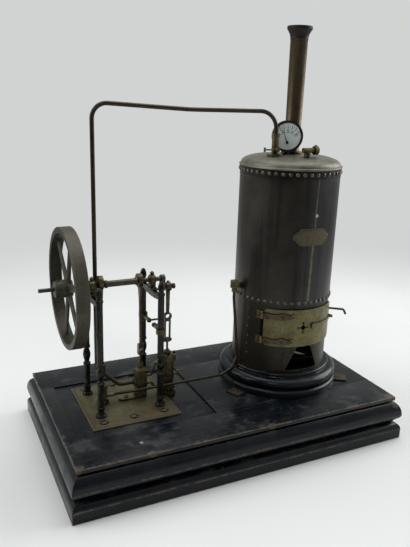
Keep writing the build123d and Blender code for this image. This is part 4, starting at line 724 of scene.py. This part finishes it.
rivet_metal = old_metal("rivet_metal", (0.16, 0.145, 0.11), (0.07, 0.062, 0.048), (0.016, 0.013, 0.010),
                        0.34, 0.75, 0.006, 0.6)
rivet_head = [(rivet_radius, -0.4)] + bow(0, 0, rivet_radius, rivet_rise, range(0, 90, 18)) + [(0.0, rivet_rise)]
rivet = spun("rivet", rivet_head, 12)
rivet_places = [around(360 / rivet_count * k, 60.7, top_row_height) for k in range(rivet_count)]
rivet_places += [around(360 / rivet_count * (k + 0.5), 60.4, seam_row_height) for k in range(rivet_count)]
rivet_places += [around(lap_angle - k % 2, lap_rivet_radius, lap_rivet_foot + lap_rivet_step * k)
                 @ Matrix.Scale(lap_rivet_scale, 4) for k in range(6)]
close_up(copies(rivet, rivet_places, "shell_rivets"), rivet_metal, "bronzed_shell")

# The chimney is a slightly tapering brass tube with a flange on the dome and a
# flared, rolled mouth pushed into its top. Heat has browned the tube, and soot
# has blackened the mouth.
chimney_bore, flange_radius, chimney_foot, mouth_foot = 8.0, 12.4, 341.0, 472.0
mouth_radius, mouth_top = 14.6, 485.5
chimney_brass = old_metal("chimney_brass", (0.115, 0.085, 0.045), (0.068, 0.050, 0.027), (0.022, 0.016, 0.009),
                          0.34, 0.75, 0.03, 0.7, 0.01)
tube_outline = [(chimney_bore, chimney_foot), (flange_radius, chimney_foot), (flange_radius, 345.2), (11.8, 346.0),
                (9.6, 346.2), (9.05, 347.5), (10.15, 471.0), (10.5, 471.6), (10.2, mouth_foot),
                (chimney_bore, mouth_foot), (chimney_bore, chimney_foot)]
tube = spun("chimney_tube_brass", tube_outline, 72, boiler_foot)
close_up(tube, chimney_brass, "black_iron", "chimney_tube")
mouth_outline = [(chimney_bore, mouth_foot), (10.4, mouth_foot), (10.5, 473.2), (10.8, 475.0), (11.6, 477.5),
                 (12.9, 479.8), (14.2, 481.6), (mouth_radius, 482.6), (mouth_radius, 484.9), (14.2, 485.4),
                 (13.6, mouth_top), (13.1, 484.6), (11.8, 480.5), (9.4, 476.0), (chimney_bore, mouth_foot)]
mouth = spun("chimney_mouth_brass", mouth_outline, 72, boiler_foot)
sooty_brass = old_metal("sooty_brass", (0.022, 0.018, 0.012), (0.010, 0.008, 0.006), (0.004, 0.003, 0.003),
                        0.5, 0.4, 0.01, 0.8)
close_up(mouth, sooty_brass, "aged_brass", "chimney_mouth")

# The pressure gauge has a brass case, a white enamelled dial and a blued
# pointer that turns low on the dial. The strokes and plain numbers are printed
# in black on the enamel.
dial_middle, dial_turn = (82.4, -12.0, 363.8), -26
pointer_drop, stroke_thickness = 7.0, 0.08
tick_reach, arc_reach, number_reach, number_size = 17.5, 11.5, 12.4, 3.4
long_tick, short_tick, arc_stroke = (0.5, 4.6), (0.3, 2.8), (0.95, 0.4)
gauge_brass = old_metal("gauge_brass", (0.085, 0.08, 0.068), (0.04, 0.037, 0.031), (0.012, 0.011, 0.009),
                        0.3, 0.8, 0.008, 0.6)
give_finish(gauge_brass, "gauge_case")
enamel = Finish("dial_enamel")
age = enamel.noise(0.008, 5.0, 0.6)
specks = enamel.noise(0.0012, 3.0, 0.6)
dial_face = enamel.blend(age.ease(0.4, 0.8) * 0.5, (0.88, 0.95, 0.95), (0.74, 0.73, 0.66))
dial_face = enamel.blend(specks.ease(0.66, 0.74) * 0.5, dial_face, (0.08, 0.07, 0.055))
give_finish(enamel.done(dial_face, age.ease(0.3, 0.7, 0.2, 0.32), coat=0.6), "gauge_dial")
ink = blackened_iron("dial_ink", (0.01, 0.01, 0.012), (0.03, 0.03, 0.035), 0.35, 0.2)
give_finish(ink, "gauge_needle")
facing = Vector((math.sin(math.radians(dial_turn)), -math.cos(math.radians(dial_turn)), 0.0))
across = Vector((-facing.y, facing.x, 0.0))
upwards = Vector((0, 0, 1))
dial_front = max(v.co.dot(facing) for v in nodes["gauge_dial"].data.vertices)
dial_centre = Vector(dial_middle) * mm
dial_centre += facing * (dial_front - dial_centre.dot(facing) + 0.05 * mm)


def on_dial(angle, reach):
    """Places a mark that lies in XY on the dial, at an angle from upright about the pointer's pivot."""
    a = math.radians(angle)
    spot = dial_centre + across * (math.sin(a) * reach * mm) + upwards * ((math.cos(a) * reach - pointer_drop) * mm)
    upward = across * math.sin(a) + upwards * math.cos(a)
    return Matrix.Translation(spot) @ Matrix((upward.cross(facing), upward, facing)).transposed().to_4x4()


def dial_mark(name, angle, reach, stroke):
    """One printed stroke: a plate drawn out to its width and length and lifted by its thickness."""
    width, length = stroke
    bpy.ops.mesh.primitive_plane_add(size=1.0)
    mark = bpy.context.object
    mark.name = name
    bpy.ops.object.mode_set(mode="EDIT")
    bpy.ops.transform.resize(value=(width * mm, length * mm, 1.0))
    bpy.ops.mesh.extrude_region_move(TRANSFORM_OT_translate={"value": (0, 0, stroke_thickness * mm)})
    bpy.ops.object.mode_set(mode="OBJECT")
    mark.data.transform(on_dial(angle, reach))
    return mark


marks = [dial_mark("tick", angle, tick_reach, short_tick if k % 2 else long_tick)
         for k, angle in enumerate(range(-48, 49, 8))]
marks += [dial_mark("arc", angle, arc_reach, arc_stroke) for angle in range(-56, 57, 4)]
for k, angle in enumerate(range(-48, 49, 24)):
    bpy.ops.object.text_add()
    figure = bpy.context.object
    figure.data.body = str(20 * k)
    figure.data.size = number_size * mm
    figure.data.align_x = "CENTER"
    figure.data.extrude = stroke_thickness / 2 * mm
    bpy.ops.object.convert(target="MESH")
    figure = bpy.context.object
    figure.data.transform(on_dial(angle, number_reach))
    marks.append(figure)
close_up(joined("dial_marks", *marks), ink, "dial_enamel", smooth=20)

# The steam outlet with its plug cock and the try cock are turned brass, screwed
# into the dome, and as brown with age as the engine.
give_finish(engine_brass, "outlet_valve", "cock_lever", "try_cock")

# The firebox door is a curved brass plate. It hangs on two strap hinges, whose
# leaf-shaped ends are darker and held by three small screws each, and a latch
# of the same brass closes it.
strap_radius, strap_thickness = 61.0, 2.4
strap_levels = (("low", 123.5), ("high", 155.5))
strap_screw_radius, strap_screw_angles = 63.3, (-137.5, -119.5, -112)
strap_leaf = [(-142.6, 2.5), (-140, 2.9), (-138, 3.6), (-136, 3.2), (-134, 2.5), (-127, 2.4), (-124, 2.9),
              (-121.5, 4.2), (-119.5, 4.6), (-117, 3.9), (-115, 2.6), (-112, 2.4), (-109.5, 1.9), (-107, 0.6)]
door_brass = old_metal("door_brass", (0.19, 0.168, 0.078), (0.10, 0.086, 0.038), (0.028, 0.022, 0.012),
                       0.4, 0.7, 0.02, 0.75)
give_finish(door_brass, "firebox_door", "door_straps", "door_latch")
give_finish(engine_brass, "hinge_leaves")


def curved_strip(name, radius, thickness, height, outline):
    """Sheet laid on the boiler: an upright strip drawn round it through (angle, half width) pairs."""
    angle, half = outline[0]
    axis = (boiler_foot[0] * mm, boiler_foot[1] * mm, 0)
    bpy.ops.mesh.primitive_plane_add(size=1.0, rotation=(math.radians(90), 0, 0))
    piece = settled(bpy.context.object, name, (thickness * mm, half * 2 * mm, 1.0))
    start = upright(*boiler_foot[:2], height, angle)
    piece.data.transform(start @ Matrix.Translation(((radius + thickness / 2) * mm, 0, 0)))
    opened("FACE")
    for new_angle, new_half in outline[1:]:
        bpy.ops.mesh.extrude_region_move(TRANSFORM_OT_translate={"value": (0, 0, 0)})
        bpy.ops.transform.rotate(value=math.radians(angle - new_angle), orient_axis="Z", center_override=axis)
        bpy.ops.transform.resize(value=(1.0, 1.0, new_half / half), center_override=(*axis[:2], height * mm))
        angle, half = new_angle, new_half
    closed()
    return piece


strap_brass = old_metal("strap_brass", (0.12, 0.10, 0.055), (0.05, 0.042, 0.024), (0.008, 0.006, 0.004),
                        0.38, 0.75, 0.006, 0.9)
for level, height in strap_levels:
    strap = curved_strip(f"strap_{level}", strap_radius, strap_thickness, height, strap_leaf)
    heads = [around(a, strap_screw_radius, height) @ Matrix.Rotation(math.radians(40), 4, "Z")
             for a in strap_screw_angles]
    strap = joined(f"door_strap_{level}_brass", strap, copies(slotted_screw(1.5, 1.0), heads, "strap_screws"))
    close_up(strap, strap_brass, "aged_brass", body="door_body", smooth=40)

# The plaque is a thin brass plate with shaped ears and a raised field, bent to
# the shell and held by a screw at each end. Its field is bare.
plaque_angle, plaque_height, plaque_radius, plaque_thickness = -93, 253.0, 60.4, 1.1
field_radius, field_thickness, field_share, field_height_share = 61.4, 0.45, 0.86, 0.8
plaque_screw_angle, plaque_screw_radius = 20.4, 61.6
plaque_half = 10.25
plaque_brass = old_metal("plaque_brass", (0.16, 0.14, 0.085), (0.09, 0.08, 0.05), (0.012, 0.010, 0.006),
                         0.4, 0.7, 0.004, 0.9)
left_ear = [(-22.4, 1.6), (-21.6, 3.2), (-20.4, 3.9), (-19.0, 4.3), (-18.4, 6.2), (-17.2, 7.0), (-15.6, 7.6),
            (-15.0, 9.3), (-13.6, 10.0), (-11.5, plaque_half)]
ears = left_ear + [(a, plaque_half) for a in range(-9, 10, 3)] + [(-a, half) for a, half in reversed(left_ear)]
plaque_back = curved_strip("plaque_back", plaque_radius, plaque_thickness, plaque_height,
                           [(plaque_angle + a, half) for a, half in ears])
plaque_field = curved_strip("plaque_field", field_radius, field_thickness, plaque_height,
                            [(plaque_angle + a * field_share, half * field_height_share) for a, half in ears])
pin_places = [around(plaque_angle + a, plaque_screw_radius, plaque_height)
              for a in (-plaque_screw_angle, plaque_screw_angle)]
pins = copies(slotted_screw(1.3, 0.7), pin_places, "plaque_screws")
plaque = joined("plaque_brass", plaque_back, plaque_field, pins)
close_up(plaque, plaque_brass, "aged_brass", "plaque", smooth=40)

# Three brass lugs hold the boiler down on the board, each with one slotted
# steel screw. They are rusty and brown where water has stood.
lug_angles, lug_screw_radius, lug_top = (-157.7, -34.0, 84.0), 83.5, 56.3
rusty_brass = old_metal("rusty_brass", (0.085, 0.062, 0.036), (0.030, 0.019, 0.012), (0.012, 0.008, 0.006),
                        0.5, 0.5, 0.008, 0.7)
give_finish(rusty_brass, "boiler_lugs")
lug_places = [upright(*boiler_foot[:2], lug_top, a) @ Matrix.Translation((lug_screw_radius * mm, 0, 0))
              for a in lug_angles]
close_up(copies(slotted_screw(2.6, 1.0), lug_places, "lug_screws"), screw_steel, "steel")

# The grate is black with soot. One iron bar has dropped from it and leans
# across the ash-pit. Its iron is painted pale all over, a painted highlight for the light that catches its edge.
bar_length, bar_half_width, bar_half_thickness, bar_soft = 38, 1.6, 1.1, 0.5
bar_start, bar_end = Vector((82.0, -49.0, 108.8)), Vector((120.5, -48.5, 93.2))
give_finish(soot, "grate")
bar = block("ash_pit_bar", (0, -bar_half_width, -bar_half_thickness), (bar_length, bar_half_width, bar_half_thickness),
            bar_soft)
lean = (bar_end - bar_start).to_track_quat("X", "Z").to_matrix().to_4x4()
bar.data.transform(Matrix.Translation(bar_start * mm) @ lean)
# Painted highlight: the whole bar is given a pale colour.
bar_painted_highlight = old_metal("bar_painted_highlight", (0.42, 0.40, 0.35), (0.30, 0.28, 0.24), (0.12, 0.10, 0.08), 0.5, 0.0, 0.008, 0.3)
close_up(bar, bar_painted_highlight, "black_iron")

# The floor is pale paper that fades into a pale room, so that no edge shows
# behind the object.
paper = Finish("paper_floor")
tone = paper.noise(0.5, 2.0, 0.5)
far = paper.node("ShaderNodeVectorMath", {"operation": "DISTANCE"}, paper.place, (0.05, 0.0, 0.0), output="Value")
white = paper.done(paper.blend(tone.ease(0.3, 0.7), (0.64, 0.65, 0.65), (0.69, 0.70, 0.70)), 0.8)
clear = paper.node("ShaderNodeBsdfTransparent", {})
faded = paper.node("ShaderNodeMixShader", {}, far.ease(0.42, 1.15), Flow(paper, paper.shader.outputs[0]), clear)
paper.feed(paper.tree.nodes["Material Output"].inputs["Surface"], faded)
bpy.ops.mesh.primitive_plane_add(size=8.0, location=(0, 0, 0))
floor = bpy.context.object
floor.name = "floor"
floor.data.materials.append(white)


# Soft light comes from two windows, a lamp at the front left and the sky above.
# The room is pale to the camera and darker to one side in what metal mirrors.
def lamp(name, place, target, width, watts):
    bpy.ops.object.light_add(type="AREA", location=place)
    light = bpy.context.object
    light.name = name
    light.data.size = width
    light.data.energy = watts
    light.rotation_euler = (Vector(target) - Vector(place)).to_track_quat("-Z", "Y").to_euler()


lamp("window_left", (-1.6, 0.4, 1.1), (0, 0, 0.2), 1.3, 19)
lamp("front_left", (-1.0, -1.5, 1.5), (0, 0, 0.2), 0.5, 4)
lamp("sky_above", (0.2, 0.4, 2.2), (0, 0, 0.2), 1.8, 27)
lamp("window_right", (1.6, -0.1, 0.9), (0.05, 0, 0.2), 1.2, 20)
world = bpy.data.worlds.new("studio")
bpy.context.scene.world = world
world.use_nodes = True
sky = Finish("sky", world.node_tree)
x, y, z = sky.place.axes()
room = (x * -0.62 + y * -0.78 + z * 0.1).ease(0.3, 0.92, 1.0, 0.16) * z.ease(-0.2, 0.5, 0.8, 1.1)
sky.feed(sky.shader.inputs["Color"], sky.blend(room, (0.0, 0.0, 0.0), (0.60, 0.63, 0.61)))
sky.feed(sky.shader.inputs["Strength"], 0.62)
bright = sky.node("ShaderNodeBackground", {}, (0.64, 0.65, 0.65, 1.0), 1.0)
camera_ray = sky.node("ShaderNodeLightPath", {}, output="Is Camera Ray")
seen = sky.node("ShaderNodeMixShader", {}, camera_ray, Flow(sky, sky.shader.outputs[0]), bright)
sky.feed(sky.tree.nodes["World Output"].inputs["Surface"], seen)

# The camera stands at the front left and looks slightly down, turned a little
# about its own line, at the angle from which the photograph was taken.
azimuth, drop, roll = math.radians(-26.03), math.radians(16.3), math.radians(1.9)
camera_place = (-0.31321, -0.61517, 0.40328)
ahead = Vector((-math.sin(azimuth) * math.cos(drop), math.cos(azimuth) * math.cos(drop), -math.sin(drop)))
right = ahead.cross(upwards).normalized()
above = right.cross(ahead)
right, above = (right * math.cos(roll) + above * math.sin(roll), above * math.cos(roll) - right * math.sin(roll))
bpy.ops.object.camera_add()
camera = bpy.context.object
turn = Matrix((right, above, -ahead)).transposed().to_4x4()
camera.matrix_world = Matrix.Translation(camera_place) @ turn
camera.data.lens = 39.42
camera.data.sensor_width = 36.0
camera.data.clip_start = 0.01
bpy.context.scene.camera = camera
bpy.context.scene.view_settings.view_transform = "Standard"
